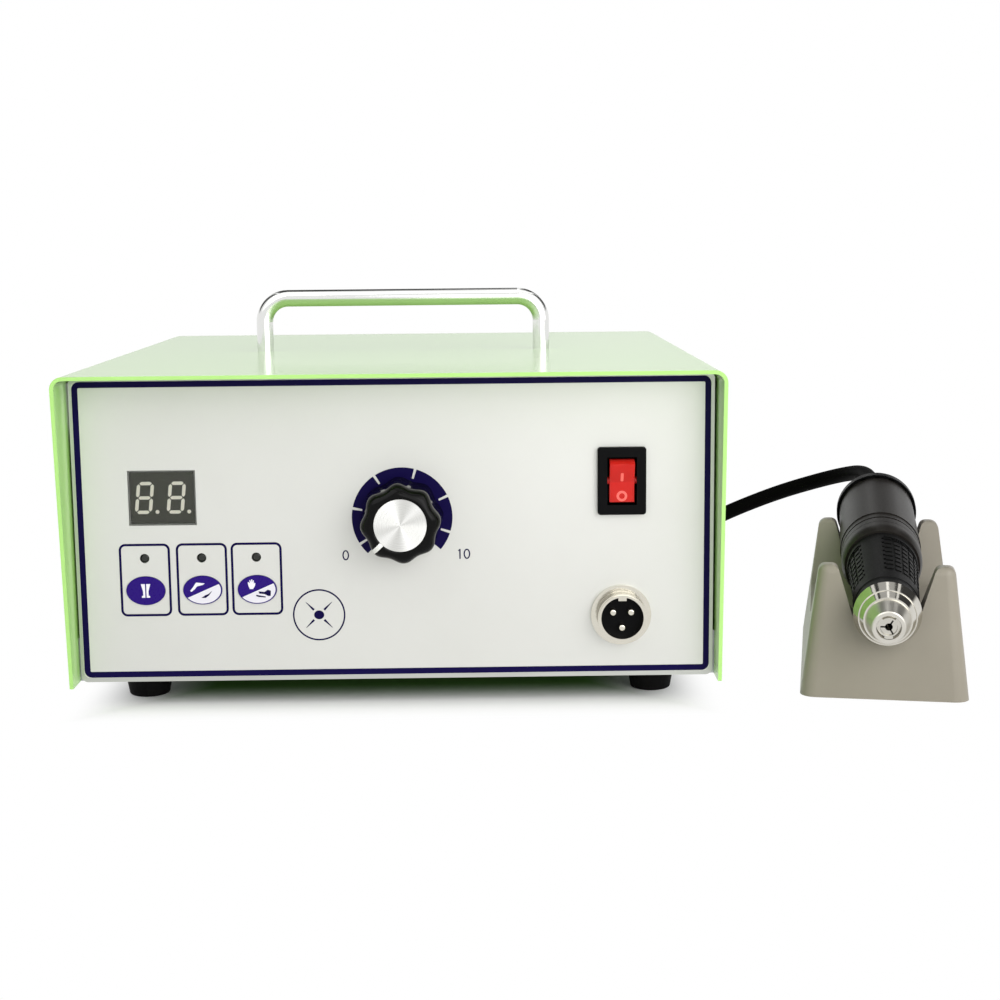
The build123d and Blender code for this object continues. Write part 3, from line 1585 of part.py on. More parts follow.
cradle_and_cord_nodes = {
    "handpiece_cradle": handpiece_cradle, "cord_lead": cord_lead,
    "cord_coil": cord_coil, "cord_tie": cord_tie,
    "plug_strain_relief": plug_strain_relief, "plug_shell": plug_shell, "plug_insert": plug_insert,
    "plug_ring": plug_ring,
}

# The middle of the set's footprint: from the cover's left side to the cradle's rear right corner,
# and from the handpiece's tip to the end of the fuse cap
cradle_right = cradle_x + cradle_width / 2 * cos(axis_turn) + cradle_length * sin(axis_turn)
tip_front = tip_y - tip_radius * sin(axis_turn)
set_place = Pos((case_half - cradle_right) / 2, -(tip_front + fuse_front_end) / 2, 0)

nodes = {name: make() for name, make in control_unit_nodes.items()}
for name, x in key_places:
    nodes[name] = key_pad(x)
for name, make in handpiece_nodes.items():
    nodes[name] = in_hand(make())
for name, make in cradle_and_cord_nodes.items():
    nodes[name] = make()
for name, shape in nodes.items():
    shape = set_place * shape
    export_step(shape, f"parts/{name}.step")
    solids = shape.solids()
    print(name, len(solids), round(sum(solid.volume for solid in solids)))
print("set placed at", [round(value, 3) for value in set_place.position])
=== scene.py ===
"""The looks of a bench micromotor: a green steel control unit, its handpiece in a cradle, and the cord.

The frame brings every rigid piece at its real size.  This script dresses those pieces, prints the
marks on the front film and the keys, flutes the knob, lays the cord and sets up a pale studio.  Lengths are
written in millimetres and turned to metres by MM.  The case frame has its origin on the table under the
middle of the front film's printed face, X to the right, Y away from the user, Z up.
"""
from math import cos, pi, radians, sin

import bpy
import numpy as np
from mathutils import Matrix, Vector


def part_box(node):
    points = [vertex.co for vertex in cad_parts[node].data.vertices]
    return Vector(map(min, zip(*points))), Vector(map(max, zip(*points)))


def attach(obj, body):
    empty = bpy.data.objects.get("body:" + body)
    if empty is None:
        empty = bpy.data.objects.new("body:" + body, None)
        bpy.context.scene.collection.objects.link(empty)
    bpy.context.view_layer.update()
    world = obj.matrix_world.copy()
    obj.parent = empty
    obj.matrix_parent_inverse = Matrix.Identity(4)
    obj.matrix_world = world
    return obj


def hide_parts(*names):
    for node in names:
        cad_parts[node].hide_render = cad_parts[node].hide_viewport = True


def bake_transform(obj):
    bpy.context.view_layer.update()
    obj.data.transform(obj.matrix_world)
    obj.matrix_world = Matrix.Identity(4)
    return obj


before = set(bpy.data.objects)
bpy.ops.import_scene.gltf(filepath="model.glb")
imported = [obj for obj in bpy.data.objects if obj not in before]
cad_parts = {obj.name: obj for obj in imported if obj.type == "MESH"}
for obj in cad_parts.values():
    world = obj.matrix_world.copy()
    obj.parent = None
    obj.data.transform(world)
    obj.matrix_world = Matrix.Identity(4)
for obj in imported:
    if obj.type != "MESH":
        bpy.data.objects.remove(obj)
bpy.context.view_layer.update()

MM = 0.001
film_low, film_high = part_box("front_overlay")
case_origin = np.array([(film_low.x + film_high.x) / 2, film_low.y, 0.0])


def in_case(points):
    """Points of the case frame, in millimetres, as points of the row frame, in metres."""
    return np.asarray(points, float) * MM + case_origin


def to_case(place):
    """A place of the row frame, in metres, as a place of the case frame, in millimetres."""
    return (np.array(place) - case_origin) / MM


def middle_of(box):
    low, high = box
    return (low + high) / 2


# Camera, at the photograph's viewing angle
image_side = 1000
focal_pixels = 1708.7
sensor_width = 36.0
camera_place = (26.2, -533.1, 149.3)
camera_yaw = radians(0.77)
camera_pitch = radians(-8.87)
camera_roll = radians(-0.55)


def make_camera():
    forward = Vector((sin(camera_yaw) * cos(camera_pitch), cos(camera_yaw) * cos(camera_pitch),
                      sin(camera_pitch)))
    right = Vector((cos(camera_yaw), -sin(camera_yaw), 0))
    up = right.cross(forward)
    rolled_right = right * cos(camera_roll) + up * sin(camera_roll)
    rolled_up = up * cos(camera_roll) - right * sin(camera_roll)
    turn = Matrix((rolled_right, rolled_up, -forward)).transposed().to_4x4()
    data = bpy.data.cameras.new("camera")
    data.sensor_width = sensor_width
    data.lens = focal_pixels / image_side * sensor_width
    data.clip_start = 10 * MM
    camera = bpy.data.objects.new("camera", data)
    camera.matrix_world = Matrix.Translation(Vector(in_case(camera_place))) @ turn
    bpy.context.collection.objects.link(camera)
    bpy.context.scene.camera = camera


make_camera()


# Materials: one function reads a colour, one adds a node with its settings and links
def srgb(code):
    """The linear colour of an sRGB code such as #A09A8E, with alpha 1."""
    parts = np.array([int(code[place:place + 2], 16) for place in (1, 3, 5)]) / 255
    linear = np.where(parts <= 0.04045, parts / 12.92, ((parts + 0.055) / 1.055) ** 2.4)
    return (*linear, 1.0)


def add(tree, kind, inputs=None, **settings):
    """Adds a node.  settings are its own properties, inputs its sockets' values or their sources."""
    made = tree.nodes.new(kind)
    for name, value in settings.items():
        setattr(made, name, value)
    for name, value in (inputs or {}).items():
        if isinstance(value, bpy.types.NodeSocket):
            tree.links.new(value, made.inputs[name])
        else:
            made.inputs[name].default_value = value
    return made


def math(tree, operation, first, second=0.0):
    """The result of one Math node."""
    return add(tree, "ShaderNodeMath", {0: first, 1: second}, operation=operation).outputs["Value"]


def between(tree, value, start, end, low, high):
    """A smooth step from low to high while value goes from start to end."""
    step = {"Value": value, "From Min": start, "From Max": end, "To Min": low, "To Max": high}
    return add(tree, "ShaderNodeMapRange", step, interpolation_type="SMOOTHSTEP").outputs["Result"]


# A Mix node has the same socket names for each kind of value, so its sockets go by number
def mix_tones(tree, share, first, second):
    """The colour that goes from first to second while share goes from 0 to 1."""
    inputs = {"Factor": share, 6: first, 7: second}
    return add(tree, "ShaderNodeMix", inputs, data_type="RGBA").outputs[2]


def mix_values(tree, share, first, second):
    """The number that goes from first to second while share goes from 0 to 1."""
    return add(tree, "ShaderNodeMix", {"Factor": share, 2: first, 3: second}).outputs[0]


def blank_material(name):
    """A material without nodes, and its node tree."""
    material = bpy.data.materials.new(name)
    material.use_nodes = True
    material.node_tree.nodes.clear()
    return material, material.node_tree


def new_material(name, **shader):
    """A material with a Principled shader, whose sockets are given with _ for a space."""
    material, tree = blank_material(name)
    inputs = {key.replace("_", " "): value for key, value in shader.items()}
    surface = add(tree, "ShaderNodeBsdfPrincipled", inputs)
    add(tree, "ShaderNodeOutputMaterial", {"Surface": surface.outputs["BSDF"]})
    return material, tree, surface


def finish(name, tones, roughness, drift, grain, height, stretch=(1, 1, 1), **shader):
    """A surface that drifts between two tones, with a grain.

    drift is the size of the tone's patches, grain the size of the fine relief and of the
    roughness's spots, and height the relief's depth, all in millimetres.  stretch draws the grain
    out along an axis.  roughness is its lowest and highest value.
    """
    material, tree, surface = new_material(name, **shader)
    place = add(tree, "ShaderNodeTexCoord").outputs["Object"]
    patches = add(tree, "ShaderNodeTexNoise",
                  {"Vector": place, "Scale": 1 / (drift * MM), "Detail": 4.0, "Roughness": 0.6})
    colour = mix_tones(tree, patches.outputs["Fac"], srgb(tones[0]), srgb(tones[1]))
    tree.links.new(colour, surface.inputs["Base Color"])
    stretched = add(tree, "ShaderNodeMapping", {"Vector": place, "Scale": stretch})
    grains = add(tree, "ShaderNodeTexNoise",
                 {"Vector": stretched.outputs["Vector"], "Scale": 1 / (grain * MM), "Detail": 3.0})
    noise_low, noise_high = 0.3, 0.7  # nearly all of the noise lies between these
    rough = add(tree, "ShaderNodeMapRange",
                {"Value": grains.outputs["Fac"], "From Min": noise_low, "From Max": noise_high,
                 "To Min": roughness[0], "To Max": roughness[1]})
    tree.links.new(rough.outputs["Result"], surface.inputs["Roughness"])
    relief = add(tree, "ShaderNodeBump",
                 {"Height": grains.outputs["Fac"], "Distance": height * MM, "Strength": 1.0})
    tree.links.new(relief.outputs["Normal"], surface.inputs["Normal"])
    return material


# Polyester powder coat, sprayed on steel and baked: pale green under a gloss that blurs what it
# mirrors
powder_coat = finish("powder_coat_green", ("#AEE37B", "#B7EA86"), (0.2, 0.23), drift=60, grain=2.5,
                     height=0.002, Specular_IOR_Level=0.1, Coat_Weight=1.0, Coat_Roughness=0.25)
# Aluminium sheet, brushed along its length and clear anodised: a soft grey shine
brushed_aluminium = finish("brushed_aluminium", ("#B9BBB4", "#C4C6C0"), (0.28, 0.42), drift=30,
                           grain=0.35, height=0.004, stretch=(0.04, 1, 1), Metallic=1.0)
# Electro-galvanised steel sheet: dull grey, faintly mottled
zinc_plated_sheet = finish("zinc_plated_sheet", ("#A9AEAF", "#BFC3C3"), (0.36, 0.5), drift=9,
                           grain=0.8, height=0.003, Metallic=1.0)
# Screws and nuts, cold formed and bright zinc plated
zinc_plated_screw = finish("zinc_plated_screw", ("#B8BBBC", "#CDD0D0"), (0.22, 0.34), drift=2,
                           grain=0.3, height=0.004, Metallic=1.0)
# Steel rod, bent, brushed and chrome plated: a bright, slightly soft mirror
chrome_plate = finish("chrome_plate", ("#E0E1DF", "#EAEAE8"), (0.1, 0.13), drift=20, grain=6,
                      height=0.002, Metallic=1.0)
# Brass turned and nickel plated: a warm bright mirror with a fine grain
nickel_plate = finish("nickel_plate", ("#CFCBBE", "#DEDACE"), (0.1, 0.2), drift=4, grain=0.4,
                      height=0.003, Metallic=1.0)
# Natural rubber, moulded: matt black with a dusty bloom
moulded_rubber = finish("moulded_rubber", ("#070707", "#0D0C0C"), (0.6, 0.8), drift=5, grain=0.4,
                        height=0.02, Specular_IOR_Level=0.1)
# Nylon moulded in a sparked tool: satin black
moulded_nylon = finish("moulded_nylon", ("#050506", "#09090A"), (0.3, 0.45), drift=8, grain=0.3,
                       height=0.008, Specular_IOR_Level=0.06)
# Dark epoxy body of the display
display_epoxy = finish("display_epoxy", ("#35362E", "#3D3E35"), (0.45, 0.6), drift=3, grain=0.3,
                       height=0.004)
# Unlit segments, cast in milky epoxy
milky_epoxy = finish("milky_epoxy", ("#F0EDDC", "#FAF7EA"), (0.4, 0.55), drift=1, grain=0.3, height=0.002)
# Unlit lamps, dark tinted epoxy domes
lamp_epoxy = finish("lamp_epoxy", ("#12160F", "#1A1E17"), (0.12, 0.2), drift=1, grain=0.5, height=0.002)
# White nylon posts and shaft, slightly translucent
white_nylon = finish("white_nylon", ("#DCD9CC", "#E8E6DC"), (0.35, 0.5), drift=6, grain=0.4,
                     height=0.006, Subsurface_Weight=0.2, Subsurface_Scale=0.001)
# Aluminium extrusion, black anodised: dark satin with fine lines along its width
black_anodised = finish("black_anodised", ("#151517", "#1D1D20"), (0.3, 0.42), drift=10, grain=0.4,
                        height=0.004, stretch=(0.05, 1, 1), Metallic=0.9)
# Shrunk PVC sleeve of the capacitors
blue_sleeve = finish("blue_sleeve", ("#17386B", "#1D447E"), (0.25, 0.35), drift=12, grain=1.2, height=0.01)
# Enamelled copper wire, wound
enamelled_copper = finish("enamelled_copper", ("#8E4520", "#B4622F"), (0.2, 0.3), drift=3, grain=0.5,
                          height=0.05, stretch=(1, 1, 0.1), Metallic=1.0)
# Sintered magnet, ground and nickel plated
ground_magnet = finish("ground_magnet", ("#8F9092", "#A3A4A6"), (0.2, 0.32), drift=4, grain=0.4,
                       height=0.004, stretch=(1, 1, 0.1), Metallic=1.0)
# Polyester tape round the transformer's winding
polyester_tape = finish("polyester_tape", ("#C79A2E", "#D8AD43"), (0.22, 0.32), drift=25, grain=3,
                        height=0.03)
# ABS moulded with a fine texture: warm grey and a soft sheen
moulded_abs = finish("moulded_abs_grey", ("#8E887B", "#989285"), (0.3, 0.42), drift=35, grain=0.45,
                     height=0.01, Specular_IOR_Level=0.3)
# Hardened stainless steel, turned and lapped: a mirror whose fine grain runs along its axis
turned_stainless = finish("turned_stainless", ("#C2BFB6", "#D2CFC6"), (0.12, 0.22), drift=5, grain=0.3,
                          height=0.004, stretch=(1, 0.1, 1), Metallic=1.0)
# Aluminium tube, bead blasted and hard anodised: dark warm grey with a soft metal shine
hard_anodised = finish("hard_anodised", ("#201D1B", "#282522"), (0.34, 0.46), drift=14, grain=0.35,
                       height=0.006, Metallic=0.25, Specular_IOR_Level=0.12)
# Grip sleeve in matt black rubbery paint over aluminium
grip_coating = finish("grip_coating", ("#080808", "#0D0D0D"), (0.42, 0.56), drift=8, grain=0.35,
                      height=0.012, Specular_IOR_Level=0.1)
# Screen printed ink on the film: dense indigo, a little smoother than the film
printed_ink = finish("printed_ink", ("#0E0838", "#130A44"), (0.28, 0.38), drift=8, grain=0.5,
                     height=0.002, Specular_IOR_Level=0.05)
# White printed pictograms on the keys
white_ink = finish("white_ink", ("#E9E6F2", "#F3F1F8"), (0.32, 0.42), drift=4, grain=0.4, height=0.002)
# Paler red of the marks on the rocker
pale_red = finish("pale_red_polycarbonate", ("#FF6058", "#FF7468"), (0.25, 0.35), drift=3, grain=0.4,
                  height=0.002)
# Polyester film, back printed with silver ink: satin grey with metal flakes, which are too fine to be
# seen singly and so are drawn 0.3 mm wide
printed_film = finish("printed_film", ("#CFCFCA", "#D6D6D2"), (0.34, 0.46), drift=45, grain=0.3,
                      height=0.002, Metallic=0.4, IOR=1.55)
# Clear acrylic window, faintly tinted, with a sharp shine; what lies behind it stays visible
tinted_acrylic = finish("tinted_acrylic", ("#2E2F29", "#33342D"), (0.03, 0.06), drift=15, grain=4,
                        height=0.002, Alpha=0.13, IOR=1.49)
# Translucent polycarbonate of the rocker: light soaks in, so that the red glows at thin edges
red_polycarbonate = finish("red_polycarbonate", ("#C61D18", "#D22A23"), (0.16, 0.24), drift=6, grain=1.2,
                           height=0.004, Subsurface_Weight=0.35, Subsurface_Scale=0.003,
                           Subsurface_Radius=(1.0, 0.15, 0.1), IOR=1.58, Specular_IOR_Level=0.15)
# Extruded PVC jacket of the cord: satin black with a fine grain
cord_jacket = finish("cord_jacket", ("#040404", "#080707"), (0.46, 0.58), drift=6, grain=0.5, height=0.01,
                     Specular_IOR_Level=0.02)


# Finishes that a pattern is drawn on
def reopen(material):
    """A finish's node tree, its shader, and Object coordinates to draw a pattern with."""
    tree = material.node_tree
    surface = next(item for item in tree.nodes if item.type == "BSDF_PRINCIPLED")
    return tree, surface, add(tree, "ShaderNodeTexCoord").outputs["Object"]


def about(tree, place, middle, turn=0.0, unit=(1, 1, 1)):
    """Coordinates about a middle, turned about Y by turn and counted in units along each axis."""
    inputs = {"Vector": place, "Location": middle, "Rotation": (0, -turn, 0), "Scale": unit}
    return add(tree, "ShaderNodeMapping", inputs, vector_type="TEXTURE").outputs["Vector"]


def overprint(tree, surface, share, code):
    """Lays a colour over the finish's own where share is 1."""
    base = surface.inputs["Base Color"]
    tree.links.new(mix_tones(tree, share, base.links[0].from_socket, srgb(code)), base)


def spun_disc():
    """Aluminium disc, turned on its face, with rings round the middle.  Three pairs of painted highlight
    streaks are drawn in its colour.  They stand for the lamps that such rings spread into streaks, since the
    rings are too fine to be resolved."""
    ring_pitch = 0.25 * MM
    ring_contrast = 0.35
    painted_highlight_sharpness = 24.0
    # Painted highlights: each pair's turn in degrees, and its strength
    painted_highlight_pairs = ((45, 0.75), (108, 0.7), (178, 0.35))  # each pair's turn in degrees, and its strength
    material, tree, surface = new_material("spun_aluminium", Metallic=1.0, Anisotropic=0.85)
    place = add(tree, "ShaderNodeTexCoord").outputs["Object"]
    centred = about(tree, place, middle_of(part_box("knob_cap")))
    distance = add(tree, "ShaderNodeVectorMath", {0: centred}, operation="LENGTH").outputs["Value"]
    rings = add(tree, "ShaderNodeTexNoise", {"W": distance, "Scale": 1 / ring_pitch, "Detail": 2.0},
                noise_dimensions="1D").outputs["Fac"]
    parts = add(tree, "ShaderNodeSeparateXYZ", {"Vector": centred}).outputs
    angle = math(tree, "ARCTAN2", parts["Z"], parts["X"])
    # The rings' own tone; the painted highlight pairs are added to it below
    bright = math(tree, "MULTIPLY", rings, ring_contrast)
    for turn, strength in painted_highlight_pairs:
        swing = math(tree, "COSINE", math(tree, "SUBTRACT", angle, radians(turn)))
        ray = math(tree, "POWER", math(tree, "ABSOLUTE", swing), painted_highlight_sharpness)
        bright = math(tree, "ADD", bright, math(tree, "MULTIPLY", ray, strength))
    tone = mix_tones(tree, math(tree, "MINIMUM", bright, 1.0), srgb("#CFCFCB"), srgb("#F8F8F5"))
    rough = add(tree, "ShaderNodeMapRange", {"Value": rings, "To Min": 0.2, "To Max": 0.34})
    around = add(tree, "ShaderNodeTangent", direction_type="RADIAL", axis="Y")
    tree.links.new(tone, surface.inputs["Base Color"])
    tree.links.new(rough.outputs["Result"], surface.inputs["Roughness"])
    tree.links.new(around.outputs["Tangent"], surface.inputs["Tangent"])
    return material


def knob_material():
    """Thermoset phenolic from a polished tool: deep glossy black, with a white line filled into the
    pointer."""
    pointer_turn = radians(225)
    pointer_width = 1.4 * MM
    pointer_start = 7.0 * MM
    material = finish("polished_phenolic", ("#060606", "#0B0B0B"), (0.08, 0.13), drift=6, grain=1.5,
                      height=0.003, Specular_IOR_Level=0.1)
    tree, surface, place = reopen(material)
    turned = about(tree, place, middle_of(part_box("knob_cap")), pointer_turn)
    parts = add(tree, "ShaderNodeSeparateXYZ", {"Vector": turned}).outputs
    narrow = math(tree, "LESS_THAN", math(tree, "ABSOLUTE", parts["Z"]), pointer_width / 2)
    outward = math(tree, "GREATER_THAN", parts["X"], pointer_start)
    overprint(tree, surface, math(tree, "MULTIPLY", narrow, outward), "#F2F2EE")
    return material


def key_material(node, halved):
    """Film dome over an oval key, printed indigo; a halved key is white below a slanting line."""
    key_width = 12.3 * MM
    key_height = 9.2 * MM
    slant = radians(23.6)
    line_drop = 0.3 * MM
    white_reach = 0.94  # of the oval's radius
    material = finish(f"printed_dome_{node}", ("#27116E", "#2D147A"), (0.25, 0.35), drift=5, grain=0.5,
                      height=0.002, Specular_IOR_Level=0.1)
    if not halved:
        return material
    tree, surface, place = reopen(material)
    middle = middle_of(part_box(node))
    parts = add(tree, "ShaderNodeSeparateXYZ", {"Vector": about(tree, place, middle, slant)}).outputs
    below = math(tree, "LESS_THAN", parts["Z"], -line_drop)
    oval = about(tree, place, middle, unit=(key_width / 2, 1, key_height / 2))
    flat = add(tree, "ShaderNodeVectorMath", {0: oval, 1: (1, 0, 1)}, operation="MULTIPLY")
    radius = add(tree, "ShaderNodeVectorMath", {0: flat.outputs["Vector"]}, operation="LENGTH")
    inside = math(tree, "LESS_THAN", radius.outputs["Value"], white_reach)
    overprint(tree, surface, math(tree, "MULTIPLY", below, inside), "#E4E2EA")
    return material


# The handpiece's tip, in the case frame, and how far its axis is turned and rises, in degrees
tool_tip = (152.089, -22.79, 28.5)
tool_turn = 11.4
tool_rise = 5.6


def nose_material():
    """Stainless nose: its front cone is ground to a satin and the bands behind it are lapped bright."""
    cone_end, bands_start = 6.7 * MM, 6.95 * MM
    satin, lapped = 0.34, 0.1
    turn, rise = radians(tool_turn), radians(tool_rise)
    axis = (sin(turn) * cos(rise), cos(turn) * cos(rise), sin(rise))
    material = finish("ground_stainless", ("#C6C3BA", "#D6D3CA"), (0.12, 0.22), drift=5, grain=0.3,
                      height=0.003, stretch=(1, 0.1, 1), Metallic=1.0)
    tree, surface, place = reopen(material)
    behind_tip = add(tree, "ShaderNodeVectorMath", {0: place, 1: Vector(in_case(tool_tip))},
                     operation="SUBTRACT")
    along = add(tree, "ShaderNodeVectorMath", {0: behind_tip.outputs["Vector"], 1: axis},
                operation="DOT_PRODUCT").outputs["Value"]
    rough = between(tree, along, cone_end, bands_start, satin, lapped)
    tree.links.new(rough, surface.inputs["Roughness"])
    return material


def laminated_core():
    """Transformer core of stacked steel sheets 0.5 mm thick, drawn twice as thick so that they show."""
    drawn_sheet = 1.0 * MM
    wave_rate = 20  # radians a unit, which a Wave node's bands have at a scale of 1
    material = finish("laminated_core", ("#3E4147", "#555A61"), (0.35, 0.5), drift=6, grain=0.4,
                      height=0.01, Metallic=0.9)
    tree, surface, place = reopen(material)
    sheets = add(tree, "ShaderNodeTexWave",
                 {"Vector": place, "Scale": 2 * pi / (wave_rate * drawn_sheet)}, bands_direction="Y")
    relief = add(tree, "ShaderNodeBump", {"Height": sheets.outputs["Fac"], "Distance": 0.15 * MM})
    tree.links.new(relief.outputs["Normal"], surface.inputs["Normal"])
    return material


def circuit_board():
    """Glass epoxy board under green solder mask, with paler copper tracks."""
    cell = 9 * MM
    track_width = 0.9 * MM
    material = finish("solder_mask", ("#14532C", "#1A6135"), (0.2, 0.3), drift=15, grain=0.6, height=0.01)
    tree, surface, place = reopen(material)
    cells = add(tree, "ShaderNodeTexVoronoi", {"Vector": place, "Scale": 1 / cell},
                feature="DISTANCE_TO_EDGE", distance="EUCLIDEAN")
    tracks = math(tree, "LESS_THAN", cells.outputs["Distance"], track_width / 2 / cell)
    overprint(tree, surface, tracks, "#2C8A50")
    return material


knob_phenolic = knob_material()

# Which finish each piece of the frame gets
finishes = (
    (powder_coat, ("cover_shell",)),
    (brushed_aluminium, ("front_panel",)),
    (printed_film, ("front_overlay",)),
    (zinc_plated_sheet, ("base_pan", "rear_panel", "transformer_frame")),
    (zinc_plated_screw, ("case_screws", "chassis_screws", "pot_nut", "spindle_bearings", "pot_body")),
    (chrome_plate, ("carry_handle",)),
    (nickel_plate, ("socket_shell", "socket_nut", "socket_pins", "inlet_pins", "plug_ring", "plug_shell")),
    (moulded_rubber, ("rubber_feet", "tail_strain_relief", "plug_strain_relief")),
    (moulded_nylon, ("switch_body", "socket_insert", "power_inlet", "fuse_holder", "fuse_cap",
                     "pedal_socket", "tact_switches", "power_transistors", "plug_insert", "cord_tie",
                     "tail_cap")),
    (display_epoxy, ("display_module",)),
    (milky_epoxy, ("display_digits",)),
    (tinted_acrylic, ("display_window",)),
    (lamp_epoxy, ("indicator_leds",)),
    (white_nylon, ("board_standoffs", "pot_shaft")),
    (black_anodised, ("heatsink",)),
    (blue_sleeve, ("capacitors",)),
    (enamelled_copper, ("stator",)),
    (ground_magnet, ("rotor_magnet",)),
    (polyester_tape, ("transformer_winding",)),
    (laminated_core(), ("transformer_core",)),
    (circuit_board(), ("control_board", "driver_board")),
    (moulded_abs, ("handpiece_cradle",)),
    (turned_stainless, ("spindle", "collet")),
    (nose_material(), ("nosepiece",)),
    (hard_anodised, ("motor_housing",)),
    (grip_coating, ("front_grip",)),
    (spun_disc(), ("knob_cap",)),
    (red_polycarbonate, ("rocker",)),
    (key_material("key_mode", False), ("key_mode",)),
    (key_material("key_hand", True), ("key_hand",)),
    (key_material("key_foot", True), ("key_foot",)),
    (cord_jacket, ("cord_lead", "cord_coil")),
    (knob_phenolic, ("knob_skirt",)),
)
for material, names in finishes:
    for name in names:
        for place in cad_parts[name].material_slots:
            place.material = material


# Shapes: a grid of points becomes a closed mesh whose faces look outwards
def solid_grid(name, places, material, loop=True, smooth=False):
    """A mesh over places[row, column], rings of points that are joined row to row.

    The columns always close into a ring.  The rows close too where loop is true, and otherwise the
    first and last ring are filled.
    """
    rows, columns = places.shape[:2]
    row, column = np.meshgrid(np.arange(rows if loop else rows - 1), np.arange(columns), indexing="ij")
    below, beside = (row + 1) % rows, (column + 1) % columns
    quads = np.stack([row * columns + column, below * columns + column,
                      below * columns + beside, row * columns + beside], axis=-1).reshape(-1, 4)
    points = places.reshape(-1, 3)
    first, second, third, fourth = (points[quads[:, corner]] for corner in range(4))
    middle = points.mean(axis=0)
    volume = np.einsum("ij,ij->", first - middle, np.cross(third - first, fourth - second))
    inward = volume < 0
    faces = (quads[:, ::-1] if inward else quads).tolist()
    if not loop:
        ends = [list(range(columns)), list(range((rows - 1) * columns, rows * columns))]
        faces += [ends[0][::-1], ends[1]] if inward else [ends[0], ends[1][::-1]]
    data = bpy.data.meshes.new(name)
    data.from_pydata(points.tolist(), [], faces)
    data.polygons.foreach_set("use_smooth", np.full(len(data.polygons), smooth))
    data.materials.append(material)
    data.update()
    made = bpy.data.objects.new(name, data)
    bpy.context.collection.objects.link(made)
    return made


# Cord: the route's points are those of the CAD tube, in millimetres of the case frame
cord_radius = 3.2
cord_low = 3.7
cord_high = 10.5
cord_exit = (186.514, 147.939, 45.577)
cord_touch = (74.0, 217.0, cord_low)
cord_route = [
    cord_exit, (189.071, 160.622, 46.846), (189.7, 180.0, 48.2), (184.9, 195.0, 45.3),
    (174.4, 207.0, 40.5), (159.0, 215.0, 34.4), (139.9, 219.0, 26.2), (121.4, 221.0, 17.0),
    (98.0, 219.5, 7.9), cord_touch, (57.9, 217.0, cord_low),
]
coil_middle = (46.0, 261.0)
coil_run_out = 8.4
coil_outer = 44.0
coil_step = 4.0
coil_halves = 7
coil_points_a_half = 8
cord_sides = 20
same_place = 1e-7


def coil_route():
    """Control points of the coil, half turn by half turn.

    Each half turn is a half circle between two distances from the middle line, so that seven of
    them spiral in on the table, one climbs a layer, and seven spiral out again.  The points stand
    outside the line that the spline draws by one over the cosine of half their spacing.
    """
    index = np.arange(2 * coil_halves + 2)
    radius = np.where(index <= coil_halves, coil_outer - index * coil_step,
                      coil_outer - (2 * coil_halves + 1 - index) * coil_step)
    across = np.where(index % 2 == 0, radius, -radius)
    height = np.where(index <= coil_halves, cord_low, cord_high)
    turn = (np.arange(coil_points_a_half) + 0.5) * pi / coil_points_a_half
    middle = (across[:-1] + across[1:])[:, None] / 2
    reach = (across[:-1] - across[1:])[:, None] / 2 / cos(pi / coil_points_a_half / 2)
    rise = (1 - np.cos(turn)) / 2
    sideways = middle + reach * np.cos(turn)
    along = np.abs(reach) * np.sign(across[:-1])[:, None] * np.sin(turn)
    level = height[:-1, None] + (height[1:] - height[:-1])[:, None] * rise
    return np.stack([coil_middle[0] - along, coil_middle[1] - sideways, level], axis=-1).reshape(-1, 3)


def lay_cord():
    """The cord: a round tube round one smooth line, which is read from the route's spline."""
    end = (coil_middle[0] + coil_run_out, coil_middle[1] + coil_outer, cord_high)
    route = in_case(np.vstack([cord_route, coil_route(), [end]]))
    data = bpy.data.curves.new("cord_route", "CURVE")
    data.dimensions = "3D"
    data.resolution_u = 8
    spline = data.splines.new("NURBS")
    spline.points.add(len(route) - 1)
    spline.points.foreach_set("co", np.hstack([route, np.ones((len(route), 1))]).ravel())
    spline.order_u = 3
    spline.use_endpoint_u = True
    holder = bpy.data.objects.new("cord_route", data)
    bpy.context.collection.objects.link(holder)
    bpy.context.view_layer.update()
    line = bpy.data.meshes.new_from_object(holder)
    points = np.zeros(len(line.vertices) * 3)
    line.vertices.foreach_get("co", points)
    points = points.reshape(-1, 3)
    bpy.data.objects.remove(holder)
    steps = np.linalg.norm(np.diff(points, axis=0), axis=1)
    points = points[np.append(True, steps > same_place)]
    along = np.append(0, np.cumsum(np.linalg.norm(np.diff(points, axis=0), axis=1)))
    ahead = np.gradient(points, along, axis=0)
    ahead /= np.linalg.norm(ahead, axis=1)[:, None]
    side = np.cross(ahead, (0, 0, 1))
    side /= np.linalg.norm(side, axis=1)[:, None]
    over = np.cross(side, ahead)
    turn = np.arange(cord_sides) / cord_sides * 2 * pi
    ring = side[:, None] * np.cos(turn)[:, None] + over[:, None] * np.sin(turn)[:, None]
    tube = solid_grid("cord", points[:, None] + ring * cord_radius * MM, cord_jacket, loop=False,
                      smooth=True)
    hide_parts("cord_lead", "cord_coil")
    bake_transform(tube)


lay_cord()


# Prints: flat closed shapes of ink, a few hundredths of a millimetre thick
ink_height = 0.04
ink_sunk = 0.02


def rounded_rectangle(width, height, radius, count=8):
    """Points of a rectangle with round corners: each corner's arc, one after the other."""
    turn = np.linspace(0, pi / 2, count)
    corners = [(1, 1, 0), (-1, 1, pi / 2), (-1, -1, pi), (1, -1, 3 * pi / 2)]
    return np.vstack([np.stack([x * (width / 2 - radius) + radius * np.cos(turn + start),
                                z * (height / 2 - radius) + radius * np.sin(turn + start)], axis=-1)
                      for x, z, start in corners])


def arc(radius, start, end, count=40):
    """Points along an arc between two angles, in degrees."""
    turn = np.radians(np.linspace(start, end, count))
    return radius * np.stack([np.cos(turn), np.sin(turn)], axis=-1)


